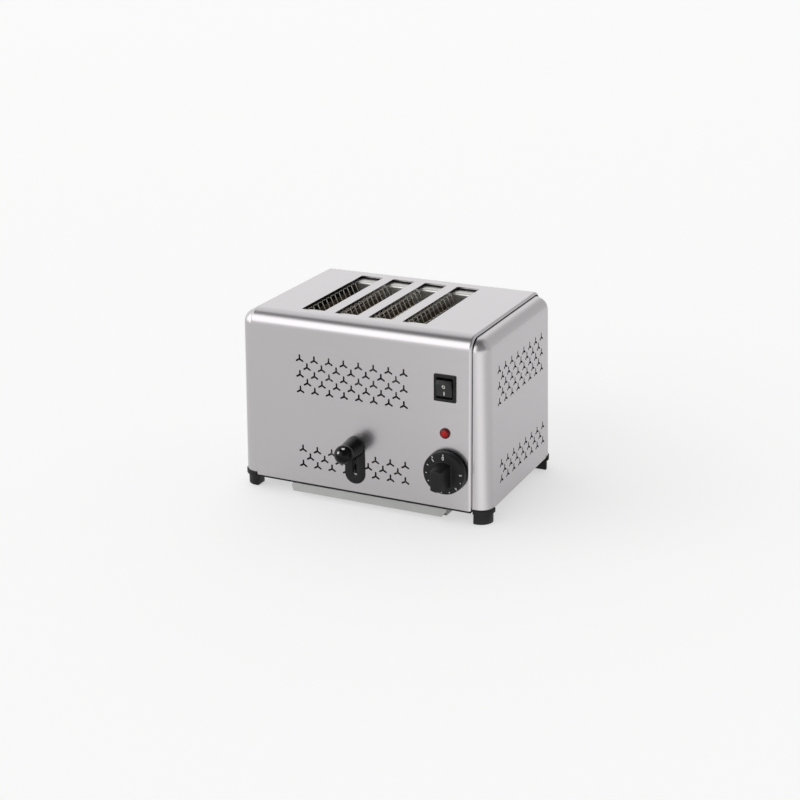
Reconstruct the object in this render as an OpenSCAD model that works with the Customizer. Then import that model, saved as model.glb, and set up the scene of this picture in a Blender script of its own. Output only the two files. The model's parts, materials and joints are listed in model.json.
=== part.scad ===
// Four-slot counter toaster: bent cover, two end caps, sprung bread carriage and a slide-out crumb tray
// Units mm, +X right, +Y to the back, +Z up, front face towards -Y, standing on z = 0

/* [Body] */
// Width of the bent cover between the two end caps
cover_w = 276; // [270:1:310]
// Depth of the body from front face to back face
body_d = 210; // [208:1:230]
// Height of the body above its lower edge
body_h = 204; // [200:1:220]
// Width that each end cap adds beyond the cover
cap_w = 20.5; // [19:0.5:22]
// Outside radius of the cover's two top bends
bend_r = 16; // [14.5:0.5:17]
// Outside radius of the cover's rolled ends
roll_r = 3; // [2.6:0.1:3.2]
// Radius of the end caps' round edges
cap_r = 16; // [14:0.5:17]
// Lean of the end caps towards the middle, in degrees
cap_lean = 1.3; // [0:0.1:1.5]
// Thickness of the stainless sheet
sheet_t = 0.8; // [0.6:0.1:1]
// Gap between parts that sit together without moving
fit_gap = 0.2; // [0.15:0.05:0.3]
// Radial running clearance of a shaft in its hole
run_gap = 0.06; // [0.04:0.01:0.1]

/* [Bread slots] */
// Middle of the four slots from the middle of the body
slot_x = -6; // [-8:0.5:0]
// Distance from one slot to the next
slot_pitch = 42.5; // [42:0.25:44]
// Width of one slot in the top
slot_w = 28.6; // [26:0.2:29]
// Length of one slot in the top
slot_l = 156; // [152:1:158]
// Corner radius of one slot
slot_r = 2; // [1:0.25:3]
// Ledge seen at each end of a slot, in front of the bulkhead below it
ledge = 15; // [13:0.5:17]
// Middle of the slots' length from the middle of the chamber
slot_off = -1.2; // [-2:0.1:1]

/* [Vents] */
// Reach of one arm of a three-armed vent
vent_arm = 5.7; // [5:0.1:6]
// Width of one arm
vent_w = 2.2; // [1.6:0.1:2.4]
// Distance from one vent to the next in a row
vent_pitch = 18.75; // [18:0.25:19.5]
// Distance from one row to the next
vent_row = 9.45; // [9:0.05:9.8]
// Vents in the longest row
vent_cols = 8; // [6:1:8]
// Middle of the front vents from the middle of the body
vent_x = -8.9; // [-12:0.1:-4]
// Lowest row of the upper group above the body's lower edge
vent_high = 114.7; // [113:0.1:118]
// Lowest row of the lower group above the body's lower edge
vent_low = 23.3; // [22:0.1:26]
// Shift of the lower group along its rows, against the upper one
vent_low_off = 0.9; // [0:0.1:2]
// Lift of the upper group on the end caps over that on the front
side_lift_high = 4.7; // [0:0.1:6]
// Lift of the lower group on the end caps over that on the front
side_lift_low = 3.2; // [0:0.1:5]
// Shift of the lower group to the back on the end caps
side_low_off = 3.8; // [0:0.1:5]

/* [Feet and crumb tray] */
// Height of the body's lower edge above the table
foot_h = 17; // [16.5:0.5:20]
// Lip of the foot standing out around the end cap
foot_lip = 1.3; // [1:0.1:1.6]
// Length of the front feet beyond the round corner
foot_over_front = 2; // [2:0.5:10]
// Length of the rear feet beyond the round corner
foot_over_rear = 2; // [2:0.5:10]
// Left end of the tray from the cover's left edge
tray_in_left = 48.5; // [46:0.5:56]
// Right end of the tray from the cover's right edge
tray_in_right = 29.5; // [26:0.5:36]
// Forward slope of the tray's pull lip
tray_slope = 6; // [4:0.5:8]
// Depth of the tray
tray_deep = 7.8; // [7:0.1:9]

/* [Lever and carriage] */
// Travel of the lever and the bread carriage
travel = 29.5; // [28:0.5:31]
// Height of the lever above the body's lower edge, carriage up
lever_up = 55.7; // [54:0.1:58]
// Diameter of the lever's ball
ball_d = 22.4; // [19:0.2:23]
// Reach of the ball's centre in front of the front face
ball_reach = 27.3; // [27:0.1:32]
// Width of the plate around the lever
plate_w = 25.2; // [24:0.2:27]
// Height of the plate around the lever
plate_h = 57.3; // [56.5:0.1:59]
// Thickness of the plate around the lever
plate_t = 1.5; // [1.25:0.25:2.5]
// Height of the bread racks above the body's lower edge, carriage up
rack_up = 103; // [98:1:106]

/* [Controls] */
// Column of the switch and the lamp from the cover's right edge
control_in = 31; // [29:0.5:33]
// Column of the timer knob from the cover's right edge
knob_in = 29.2; // [28:0.1:31]
// Height of the switch above the body's lower edge
switch_z = 142.5; // [138:0.5:148]
// Height of the lamp above the body's lower edge
lamp_z = 89.5; // [86:0.5:94]
// Height of the timer knob above the body's lower edge
knob_z = 44.7; // [42:0.1:48]
// Diameter of the timer knob
knob_d = 50.9; // [44:0.1:52]
// Height of the knob's grip in front of its dial
grip_h = 21.5; // [16:0.5:24]
// Tilt of the rocker to each side
rocker_tilt = 10; // [8:0.5:11]

/* [Hidden] */
$fn = 72;
eps = 0.01;
half_w = cover_w / 2;
front_y = -body_d / 2;
back_y = body_d / 2;
base_z = foot_h;
top_z = base_z + body_h;
side_x = half_w + cap_w;
in_front = front_y + sheet_t;
in_back = back_y - sheet_t;

corner_n = 4;
vent_rows_high = 5;
vent_rows_low = 3;
flat_x = half_w - roll_r;
cut = 3 * sheet_t;

// End cap: wall lines, straight land and the ears that take the feet's screws
cap_gap = 0.9;
cap_inset = roll_r + cap_gap;
cap_y = body_d / 2 - cap_inset;
cap_top = top_z - cap_inset;
cap_lift = 0.3;
cap_low = base_z + cap_lift;
skirt_w = 6;
flange_x = half_w - skirt_w - fit_gap;
land_x = side_x - cap_r;
round_y = cap_y - cap_r;
round_z = cap_top - cap_r;
ear_t = 1.2;
ear_in = 1;
ear_bore = 2.1;

// Feet
foot_hole_x = half_w + cap_w / 2;
foot_in = 1;
foot_rim_h = 1.2;
foot_band = 4.2;
foot_bore = 2.2;
foot_sink_r = 4.5;
foot_sink = 6;
foot_head_r = 3.8;
foot_head_h = 2.5;
foot_screw_r = 1.9;
foot_screw_out = 3;

// Base plate and tray
base_t = 2.2;
base_under = base_z - base_t;
base_inset = 0.3;
flange_w = 10;
tray_t = 0.8;
tray_top = base_under - fit_gap;
tray_low = tray_top - tray_deep;
tray_back = 70;
tray_front = front_y + 1;
tray_left = half_w - tray_in_left;
tray_right = half_w - tray_in_right;
tray_lip = 3;
tray_clear = 6;
lip_cut_w = 4;
lip_cut_h = 0.6;
rail_t = 1;
rail_gap = 0.3;
rail_front = front_y + 12;
rail_foot = 6;

// Toasting chamber between the bulkheads
slot_y = -0.5;
slot_n = 4;
chamber_l = slot_l - 2 * ledge;
plate_s = 1;
bulk_y = chamber_l / 2;
slot_lip = 1.6;
bulk_top = top_z - slot_lip - 2;
bulk_bend = 3;
bulk_flange = ledge + 3;
shield_gap = 9;
shield_x = 2 * slot_pitch + shield_gap;
shield_low = 6;
shield_foot = 8;
window_inset = 10;

// Heaters on mica boards, one board beside each slot
board_t = 1;
board_y = bulk_y - 4;
board_low = base_z + 45;
board_high = base_z + 189;
tab_h = 6;
tab_rows = [0, 11];
tab_out = 2;
ribbon_t = 0.3;
ribbon_w = 2.2;
ribbon_n = 13;
ribbon_pitch = (board_high - board_low) / (ribbon_n + 1);

// Wire guards with flared tops
wire = 1.6;
guard_n = 12;
guard_pitch = 10.8;
guard_in = 9.5;
guard_flare = 6.8;
guard_low = board_low;
guard_bend = top_z - 19;
guard_top = top_z - 4.5;
guard_weld = 0.4;
guard_rails = [guard_low + 4, guard_low + 66, guard_low + 128];
flare_rails = [0.12];

// Carriage
lever_z = base_z + lever_up;
rack_z = base_z + rack_up;
rack_t = 1.2;
rack_half = 5;
rung_half = 7.3;
rung_n = 8;
rung_w = 4;
web_t = 2.4;
web_h = 10.8;
web_gap = 0.8;
web_over = 2;
web_back = 8;
rack_short = 2;

// Lift mechanism, set out in the room between the front face and the front bulkhead
mech_d = slot_y - bulk_y - plate_s - front_y;
lift_y = front_y + 0.38 * mech_d;
lift_t = 1.5;
lift_back = lift_y + lift_t;
lift_low = lever_z - 16;
lift_high = rack_z + 4;
lift_side = 1.5 * slot_pitch + 9;
lift_hole_w = 24;
lift_hole_h = 16;
lift_hole_z = rack_z - 16;
arm_w = 4;
arm_h = 6;
arm_gap = 0.5;
arm_side = 0.7;
rod_r = 3;
rod_x = slot_pitch;
bush_w = 14;
bush_d = 0.37 * mech_d;
bush_h = 18;
bush_z = lever_z - 8.7;
rod_y = lift_back + 0.53 * bush_d;
rod_top = base_z + 143;
seat_r = 5;
seat_h = 3;
bracket_z = base_z + 133;
bracket_side = 10;
bracket_front = 6;
bracket_h = 12;
spring_r = 4.5;
spring_wire = 1.2;
spring_turns = 7;
spring_low = base_z + seat_h;
spring_len = bush_z - spring_low;
helix_steps = 10;
helix_sides = 6;
magnet_h = 17.5;
magnet_w = 13;
magnet_foot = 2;
magnet_room = 0.05;
coil_r = 0.44 * bush_d;
core_r = coil_r / 2;
coil_short = 3;
armature_gap = 0.5;
armature_z = base_z + magnet_h + armature_gap + travel;
armature_t = 3;
armature_w = 12;
armature_d = bush_d - 1;

// Lever knob and its plate
plate_step = 0.5;
plate_low = 2;
plate_drop = 1.85;
plate_high = 0.8;
stud_in = 3.2;
stud_out = 1;
knob_back = front_y - plate_t - 0.6;
collar_r = plate_w / 2 - 0.3;
collar_front_r = 11.6;
ball_y = front_y - ball_reach;
ball_sink = 5.5;
collar_l = knob_back - ball_y - ball_sink;
arm_tip = knob_back - 11;
press_gap = 0.1;
slot_low = lever_z - travel - arm_h / 2 - arm_gap;
slot_high = lever_z + arm_h / 2 + arm_gap;
plate_z = (slot_low + slot_high) / 2 - plate_drop;

// Controls
control_x = half_w - control_in;
knob_x = half_w - knob_in;
bezel_w = 26.5;
bezel_h = 31.4;
bezel_t = 2;
switch_body_w = 22;
switch_body_h = 28.4;
switch_body_d = 22;
pocket_w = 19.6;
pocket_h = 24.2;
rocker_w = 18.8;
rocker_half = 10.8;
rocker_ridge = 7.4;
rocker_crest = 2.4;
rocker_dip = 1.1;
rocker_end = 1;
rocker_foot = 7.5;
rocker_in = 3.4;
pivot_in = 4;
pocket_in = 6;
pin_r = 1.5;
pin_l = 1.1;
pin_end = 0.2;
lens_r = 6.2;
lens_rim = 0.8;
lens_rim_t = 1.6;
lens_taper = 1.8;
lens_dome = 2;
lamp_body_r = 5;
lamp_l = 22;
lamp_nut_r = 8;
lamp_nut_t = 3;
timer_w = 39;
timer_h = 45;
timer_d = 30;
shaft_r = 3;
boss_r = 5;
boss_out = 1;
shaft_in = 7.5;
shaft_out = 8;
shaft_end = 0.2;
screw_in = 5;
screw_end = 1;
knob_off = 2.2;
knob_taper = 0.6;
knob_edge = 0.8;
knob_wall = 3;
skirt_h = 7.6;
dial_y = front_y - knob_off - skirt_h;
knob_hollow = 4;
grip_base = 18.5;
grip_front = 13;
grip_r1 = 15.5;
grip_r2 = 12.75;
grip_drop = 1.75;
timer_screw_x = 14;

// Back panel, gland and screws
lip_back = 14;
rear_top = top_z - bend_r - lip_back - fit_gap;
rear_side = half_w - fit_gap - roll_r;
rear_tab_x = flat_x - 8;
rear_tab_low = 10;
rear_tab_high = 1;
gland_x = half_w - 38;
gland_z = base_z + 30;
gland_bore = 4;
gland_r = 6;
gland_flange_r = 9.5;
gland_out = 4;
gland_in = 10;
gland_nut_r = 8.5;
gland_nut_t = 4;
screw_r = 1.5;
head_r = 3;
head_h = 1.8;
rear_screw_l = 5;
base_screw_l = 6;
rear_screw_x = [for (k = [-1, -1 / 3, 1 / 3, 1]) k * (half_w - 26)];
base_screw_x = [22 - half_w, half_w - 14];

// Electrics
block_x = half_w - 24.5;
block_y = back_y - 35;
block_w = 14;
block_d = 9;
block_h = 16;
block_hole_r = 2.5;
block_hole_in = 10;
block_pitch = 9;
bar_t = 1.5;
bar_end = 4;

// The whole model is moved along Y so that the origin lies under the middle of its bounding box
lever_front = ball_reach + ball_d / 2;
shift_y = (lever_front - gland_out) / 2;

// Finishes
steel = [0.75, 0.75, 0.76];
inner_steel = [0.66, 0.67, 0.68];
dark = [0.12, 0.12, 0.13];
red = [0.7, 0.1, 0.1];
mica = [0.72, 0.66, 0.55];
brass = [0.75, 0.6, 0.3];
copper = [0.7, 0.42, 0.26];
cream = [0.9, 0.88, 0.84];

// Shared shapes

module place() {
    translate([0, shift_y, 0]) children();
}

// A box given by its two opposite corners
module block(a, b) {
    translate(a) cube(b - a);
}

module disc_y(r, y0, y1) {
    translate([0, y1, 0]) rotate([90, 0, 0]) cylinder(r = r, h = y1 - y0);
}

module quarter_ring(r_out, r_in) {
    intersection() {
        difference() {
            circle(r_out);
            circle(r_in);
        }
        square(r_out);
    }
}

module quarter_disc(r) {
    intersection() {
        circle(r);
        square(r);
    }
}

module half_disc(r) {
    intersection() {
        circle(r);
        translate([-r, 0]) square([2 * r, r]);
    }
}

// Upright slot or plate with round ends, built along -Y from y = 0
module obround(w, h, t) {
    straight = (h - w) / 2;
    rotate([90, 0, 0]) {
        translate([-w / 2, -straight, 0]) cube([w, 2 * straight, t]);
        translate([0, straight, 0]) linear_extrude(t) half_disc(w / 2);
        translate([0, -straight, 0]) rotate(180) linear_extrude(t) half_disc(w / 2);
    }
}

function corner_pts(cx, cy, r, a) = [for (k = [0:corner_n]) let (t = a + 90 * k / corner_n)
    [cx + r * cos(t), cy + r * sin(t)]];
function rounded_pts(w, l, r) = concat(
    corner_pts(w / 2 - r, l / 2 - r, r, 0), corner_pts(r - w / 2, l / 2 - r, r, 90),
    corner_pts(r - w / 2, r - l / 2, r, 180), corner_pts(w / 2 - r, r - l / 2, r, 270));

// Outline of one vent: three arms with blunt round ends
function vent_tip(t) = (vent_arm - vent_w / 2) * [cos(t), sin(t)];
function vent_pts() = [for (k = [0:2]) let (t = 90 + 120 * k) each concat(
    [for (f = [-90:60:90]) vent_tip(t) + vent_w / 2 * [cos(t + f), sin(t + f)]],
    [vent_w / 2 / sin(60) * [cos(t + 60), sin(t + 60)]])];

// Staggered group of vents: u along the row, v up
module vent_group(rows, low) {
    for (r = [0:rows - 1]) {
        n = vent_cols - r % 2;
        for (i = [0:n - 1])
            translate([(i - (n - 1) / 2) * vent_pitch, low + r * vent_row]) polygon(vent_pts());
    }
}

module vents(lift_high = 0, lift_low = 0, off_low = vent_low_off) {
    vent_group(vent_rows_high, base_z + vent_high + lift_high);
    translate([off_low, 0]) vent_group(vent_rows_low, base_z + vent_low + lift_low);
}

// Cuts the vents through a wall standing across Y, from y0 to y1
module vents_y(x, y0, y1) {
    translate([x, y1, 0]) rotate([90, 0, 0]) linear_extrude(y1 - y0) vents();
}

function slot_mid(i) = slot_x + (i - (slot_n - 1) / 2) * slot_pitch;
function board_mid(i) = slot_x + (i - slot_n / 2) * slot_pitch;

// Turns a shape drawn for one end of the chamber to its other end
module chamber_end(rear) {
    translate([0, slot_y, 0]) mirror([0, rear ? 0 : 1, 0]) children();
}

// Outer shell

module cover_bend(rear) {
    axis_y = (back_y - bend_r) * (rear ? 1 : -1);
    translate([-flat_x, axis_y, top_z - bend_r]) rotate([90, 0, 90]) mirror([rear ? 0 : 1, 0])
        linear_extrude(2 * flat_x) quarter_ring(bend_r, bend_r - sheet_t);
}

// Rolled end of the sheet on the +X side, from the front edge over the top to the back lip
module cover_roll() {
    r_in = roll_r - sheet_t;
    straight = top_z - bend_r;
    lip_z = rear_top + fit_gap;
    translate([flat_x, front_y + roll_r, base_z]) rotate(-90) linear_extrude(straight - base_z)
        quarter_ring(roll_r, r_in);
    for (rear = [0, 1]) translate([flat_x, (back_y - bend_r) * (2 * rear - 1), straight])
        rotate([0, 90, 0]) rotate(180 - 90 * rear) rotate_extrude(angle = 90)
            translate([bend_r - roll_r, 0]) quarter_ring(roll_r, r_in);
    translate([flat_x, back_y - bend_r, top_z - roll_r]) rotate([90, 0, 0]) linear_extrude(body_d - 2 * bend_r)
        quarter_ring(roll_r, r_in);
    translate([flat_x, back_y - roll_r, lip_z]) linear_extrude(straight - lip_z) quarter_ring(roll_r, r_in);
}

// Edge turned down at the far end of a bread slot
module slot_edge() {
    y = slot_y + slot_off + slot_l / 2;
    w = slot_w / 2 - slot_r;
    block([-w, y, top_z - slot_lip], [w, y + sheet_t, top_z - sheet_t]);
}

module cover_sheet() {
    block([-flat_x, front_y, base_z], [flat_x, in_front, top_z - bend_r]);
    cover_bend(false);
    block([-flat_x, front_y + bend_r, top_z - sheet_t], [flat_x, back_y - bend_r, top_z]);
    cover_bend(true);
    block([-flat_x, in_back, rear_top + fit_gap], [flat_x, back_y, top_z - bend_r]);
    block([-flange_x, in_front, base_z], [flange_x, in_front + flange_w, base_z + sheet_t]);
    cover_roll();
    mirror([1, 0, 0]) cover_roll();
    for (i = [0:slot_n - 1]) translate([slot_mid(i), 0, 0]) slot_edge();
}

// Straight hole through the front sheet
module front_hole(r) {
    disc_y(r, front_y - eps, in_front + eps);
}

module outer_cover() {
    sw = switch_body_w / 2 + fit_gap;
    sh = switch_body_h / 2 + fit_gap;
    side = arm_w / 2 + arm_side;
    color(steel) difference() {
        cover_sheet();
        for (i = [0:slot_n - 1]) translate([slot_mid(i), slot_y + slot_off, top_z - 2 * sheet_t])
            linear_extrude(cut) polygon(rounded_pts(slot_w, slot_l, slot_r));
        vents_y(vent_x, front_y - eps, in_front + eps);
        block([slot_x - side, front_y - eps, slot_low], [slot_x + side, in_front + eps, slot_high]);
        translate([slot_x, 0, 0]) plate_studs(fit_gap);
        translate([control_x, 0, base_z + switch_z])
            block([-sw, front_y - eps, -sh], [sw, in_front + eps, sh]);
        translate([control_x, 0, base_z + lamp_z]) front_hole(lamp_body_r + fit_gap);
        translate([knob_x, 0, base_z + knob_z]) {
            front_hole(boss_r + fit_gap);
            for (s = [-1, 1]) translate([s * timer_screw_x, 0, 0]) front_hole(screw_r + fit_gap);
        }
        rear_screw_spots() disc_y(screw_r + fit_gap, in_back - eps, back_y + eps);
        base_screw_spots() cylinder(r = screw_r + fit_gap, h = base_z + cut);
    }
}

module rear_screw_spots() {
    for (x = rear_screw_x) translate([x, 0, rear_top + lip_back / 2]) children();
}

// Drawn end cap for the +X side: straight skirt under the cover, round edges, flat perforated side
// Length of a cap's ear and of the foot under it, at the back or the front
function foot_l(front) = cap_r + (front ? foot_over_front : foot_over_rear);

// Distance of a foot's screw from the middle of the body
function foot_hole_y(front) = cap_y - foot_l(front) / 2;

module cap_half(s) {
    r_in = cap_r - sheet_t;
    skirt_x = half_w - skirt_w;
    mirror([0, s, 0]) {
        block([skirt_x, cap_y - sheet_t, cap_low], [land_x, cap_y, round_z]);
        translate([skirt_x, round_y, round_z]) rotate([90, 0, 90])
            linear_extrude(land_x - skirt_x) quarter_ring(cap_r, r_in);
        translate([land_x, round_y, cap_low]) linear_extrude(round_z - cap_low) quarter_ring(cap_r, r_in);
        translate([land_x, round_y, round_z]) rotate_extrude(angle = 90) quarter_ring(cap_r, r_in);
        difference() {
            cap_ear(s == 1);
            translate([foot_hole_x, foot_hole_y(s == 1), 0]) cylinder(r = ear_bore, h = top_z);
        }
    }
}

// Inside ear on the rear corner that takes the foot's screw
module cap_ear(front) {
    y0 = cap_y - foot_l(front);
    mid = cap_r - sheet_t / 2;
    translate([0, 0, cap_low]) {
        translate([land_x, round_y, 0]) linear_extrude(ear_t) quarter_disc(mid);
        block([half_w + ear_in, y0, 0], [land_x, cap_y - sheet_t / 2, ear_t]);
        block([land_x, y0, 0], [side_x - sheet_t / 2, round_y, ear_t]);
    }
}

module end_cap() {
    y0 = foot_l(true) - cap_y;
    y1 = cap_y - foot_l(false);
    translate([half_w, 0, cap_low]) rotate([0, -cap_lean, 0]) translate([-half_w, 0, -cap_low]) difference() {
        union() {
            cap_half(0);
            cap_half(1);
            block([half_w - skirt_w, -round_y, cap_top - sheet_t], [land_x, round_y, cap_top]);
            translate([land_x, round_y, round_z]) rotate([90, 0, 0])
                linear_extrude(2 * round_y) quarter_ring(cap_r, cap_r - sheet_t);
            block([side_x - sheet_t, -round_y, cap_low], [side_x, round_y, round_z]);
            block([half_w + ear_in, y0, cap_low], [side_x - sheet_t / 2, y1, cap_low + ear_t]);
        }
        translate([side_x - 2 * sheet_t, 0, 0]) rotate([90, 0, 90]) linear_extrude(cut)
            vents(side_lift_high, side_lift_low, side_low_off);
    }
}

module right_end_cap() {
    color(steel) end_cap();
}

module left_end_cap() {
    color(steel) mirror([1, 0, 0]) end_cap();
}

module rear_panel() {
    h = rear_top - base_z;
    color(steel) difference() {
        union() {
            block([-rear_side, in_back, base_z], [rear_side, back_y, rear_top]);
            for (s = [0, 1]) mirror([s, 0, 0]) translate([rear_side, back_y - roll_r, base_z])
                linear_extrude(h) quarter_ring(roll_r, roll_r - sheet_t);
            block([-rear_tab_x, in_back - sheet_t, rear_top - rear_tab_low],
                [rear_tab_x, in_back, rear_top + lip_back - rear_tab_high]);
            block([-rear_tab_x, in_back - flange_w, base_z], [rear_tab_x, in_back, base_z + sheet_t]);
        }
        vents_y(-vent_x, in_back - eps, back_y + eps);
        translate([gland_x, 0, gland_z]) disc_y(gland_r + fit_gap, in_back - eps, back_y + eps);
        rear_screw_spots() disc_y(screw_r + fit_gap, in_back - 2 * sheet_t, back_y);
        base_screw_spots() cylinder(r = screw_r + fit_gap, h = base_z + cut);
    }
}

module rear_screws() {
    color(steel) rear_screw_spots() {
        disc_y(head_r, back_y, back_y + head_h);
        disc_y(screw_r, back_y - rear_screw_l, back_y);
    }
}

// Base, feet and tray

module base_plate() {
    edge_x = half_w - fit_gap;
    win_x = shield_x - window_inset;
    win_y = bulk_y - window_inset;
    color(dark) difference() {
        block([-edge_x, front_y + base_inset, base_under], [edge_x, back_y - base_inset, base_z]);
        translate([slot_x, slot_y, 0]) block([-win_x, -win_y, base_under - eps], [win_x, win_y, base_z + eps]);
        base_screw_spots() cylinder(r = screw_r + fit_gap, h = base_z + eps);
    }
}

module base_screw_spots() {
    for (x = base_screw_x) {
        translate([x, in_front + flange_w / 2, 0]) children();
        translate([x, in_back - flange_w / 2, 0]) children();
    }
}

module base_screws() {
    color(steel) base_screw_spots() {
        translate([0, 0, base_under - head_h]) cylinder(r = head_r, h = head_h);
        translate([0, 0, base_under]) cylinder(r = screw_r, h = base_screw_l);
    }
}

// Plan of a foot at the +X, +Y corner out to radius r about the cap's round corner
module foot_layer(front, r, z0, z1) {
    y0 = cap_y - foot_l(front) + ear_in;
    translate([0, 0, z0]) {
        translate([land_x, round_y, 0]) linear_extrude(z1 - z0) quarter_disc(r);
        block([half_w + ear_in, y0, 0], [land_x, round_y + r, z1 - z0]);
        block([land_x, y0, 0], [land_x + r, round_y, z1 - z0]);
    }
}

module foot_rim(front, r_in, r_out, z0, z1) {
    y0 = cap_y - foot_l(front) + ear_in;
    translate([0, 0, z0]) {
        translate([land_x, round_y, 0]) linear_extrude(z1 - z0) quarter_ring(r_out, r_in);
        block([half_w + ear_in, round_y + r_in, 0], [land_x, round_y + r_out, z1 - z0]);
        block([land_x + r_in, y0, 0], [land_x + r_out, round_y, z1 - z0]);
    }
}

module foot(front) {
    lip_low = base_z - foot_band;
    seat_z = cap_low - fit_gap;
    difference() {
        union() {
            foot_layer(front, cap_r - foot_in, 0, lip_low);
            foot_layer(front, cap_r + foot_lip, lip_low, seat_z);
            foot_layer(front, cap_r - sheet_t - foot_in, seat_z, cap_low);
            foot_rim(front, cap_r + fit_gap, cap_r + foot_lip, seat_z, base_z + foot_rim_h);
        }
        translate([foot_hole_x, foot_hole_y(front), -eps]) {
            cylinder(r = foot_bore, h = top_z);
            cylinder(r = foot_sink_r, h = foot_sink + 2 * eps);
        }
    }
}

module foot_rear_right() {
    color(dark) foot(false);
}

module foot_rear_left() {
    color(dark) mirror([1, 0, 0]) foot(false);
}

module foot_front_right() {
    color(dark) mirror([0, 1, 0]) foot(true);
}

module foot_front_left() {
    color(dark) mirror([1, 0, 0]) mirror([0, 1, 0]) foot(true);
}

module foot_screws() {
    tip = cap_low + ear_t + foot_screw_out;
    rows = [-foot_hole_y(true), foot_hole_y(false)];
    color(steel) for (x = [-foot_hole_x, foot_hole_x], y = rows) translate([x, y, 0]) {
        translate([0, 0, foot_sink - foot_head_h]) cylinder(r = foot_head_r, h = foot_head_h);
        translate([0, 0, foot_sink]) cylinder(r = foot_screw_r, h = tip - foot_sink);
    }
}

// Shallow drawer under the base: open box, side flanges and a sloping pull lip in front
module crumb_tray() {
    x0 = -tray_left;
    x1 = tray_right;
    color(steel) {
        block([x0, tray_front, tray_low], [x1, tray_back, tray_low + tray_t]);
        for (x = [x0, x1 - tray_t]) block([x, tray_front, tray_low], [x + tray_t, tray_back, tray_top]);
        block([x0, tray_back - tray_t, tray_low], [x1, tray_back, tray_top]);
        for (x = [x0 - tray_lip, x1])
            block([x, tray_front + tray_clear, tray_top - tray_t], [x + tray_lip, tray_back, tray_top]);
        pull_lip(x0, x1);
    }
}

// Floor run-out and sloping lip in one profile, with the lower corners cut off at a slant
module pull_lip(x0, x1) {
    steep = tray_deep / tray_slope;
    nose_y = tray_front - tray_slope;
    wall = tray_t * sqrt(1 + 1 / (steep * steep));
    cut_z = tray_low + lip_cut_h * tray_deep;
    intersection() {
        translate([x0, 0, 0]) rotate([90, 0, 90]) linear_extrude(x1 - x0) polygon([[nose_y, tray_low],
            [tray_front, tray_low], [tray_front, tray_low + tray_t],
            [nose_y + wall + tray_t / steep, tray_low + tray_t],
            [tray_front, tray_top - wall * steep], [tray_front, tray_top]]);
        translate([0, tray_front + tray_clear, 0]) rotate([90, 0, 0])
            linear_extrude(tray_slope + 2 * tray_clear) polygon([[x0 + lip_cut_w, tray_low],
                [x1 - lip_cut_w, tray_low], [x1, cut_z], [x1, tray_top], [x0, tray_top], [x0, cut_z]]);
    }
}

module tray_rail(x, s) {
    lip = tray_lip - rail_gap;
    ledge_z = tray_top - tray_t - rail_gap;
    web_x = x + s * (tray_lip + rail_gap);
    translate([web_x, 0, 0]) mirror([s < 0 ? 1 : 0, 0, 0]) {
        block([0, rail_front, ledge_z - rail_t], [rail_t, tray_back, base_under]);
        block([-lip, rail_front, ledge_z - rail_t], [0, tray_back, ledge_z]);
        block([rail_t, rail_front, base_under - rail_t], [rail_t + rail_foot, tray_back, base_under]);
    }
}

module tray_rails() {
    color(inner_steel) {
        tray_rail(-tray_left, -1);
        tray_rail(tray_right, 1);
    }
}

// Toasting chamber

module bulkhead(rear) {
    w = shield_x;
    through = plate_s + 2 * eps;
    web = web_t / 2 + web_gap;
    eye = wire / 2 + fit_gap;
    tab = board_t / 2 + fit_gap;
    magnet_side = magnet_w + magnet_room;
    magnet_back = slot_y - rod_y - coil_r - magnet_room;
    translate([slot_x, 0, 0]) difference() {
        union() {
            block([-w, bulk_y, base_z], [w, bulk_y + plate_s, bulk_top - bulk_bend]);
            translate([-w, bulk_y + bulk_bend, bulk_top - bulk_bend]) rotate([90, 0, 90]) mirror([1, 0])
                linear_extrude(2 * w) quarter_ring(bulk_bend, bulk_bend - plate_s);
            block([-w, bulk_y + bulk_bend, bulk_top - plate_s], [w, bulk_y + bulk_flange, bulk_top]);
            block([-w, bulk_y + plate_s, base_z], [w, bulk_y + flange_w, base_z + plate_s]);
        }
        for (i = [0:slot_n - 1]) translate([slot_mid(i) - slot_x, bulk_y - eps, 0]) {
            block([-web, 0, rack_z - rack_t - web_h - travel - web_over], [web, through, rack_z + web_over]);
            for (s = [-1, 1], z = [guard_rails[0], guard_rails[2]])
                translate([s * (guard_in + wire - guard_weld), 0, z])
                    block([-eye, 0, -eye], [eye, through, eye]);
        }
        for (i = [0:slot_n], m = tab_rows) translate([board_mid(i) - slot_x, bulk_y - eps, tab_z(m, rear)])
            block([-tab, 0, -tab_h / 2 - fit_gap], [tab, through, tab_h / 2 + fit_gap]);
        // the front foot leaves the magnet its room
        if (!rear) block([-magnet_side, magnet_back, base_z - eps],
            [magnet_side, magnet_back + 2 * coil_r, base_z + plate_s + eps]);
    }
}

// Height of a board's tab, halfway between two turns of its winding
function tab_z(m, rear) = board_low + (m + (rear ? 0.5 : 1)) * ribbon_pitch;

module front_bulkhead() {
    color(inner_steel) chamber_end(false) bulkhead(false);
}

module rear_bulkhead() {
    color(inner_steel) chamber_end(true) bulkhead(true);
}

module heat_shield() {
    l = bulk_y - fit_gap;
    translate([slot_x, slot_y, 0]) {
        block([shield_x - plate_s, -l, base_z], [shield_x, l, bulk_top - shield_low]);
        block([shield_x, -l, base_z], [shield_x + shield_foot, l, base_z + plate_s]);
    }
}

module heat_shield_right() {
    color(inner_steel) heat_shield();
}

module heat_shield_left() {
    color(inner_steel) translate([2 * slot_x, 0, 0]) mirror([1, 0, 0]) heat_shield();
}

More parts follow.
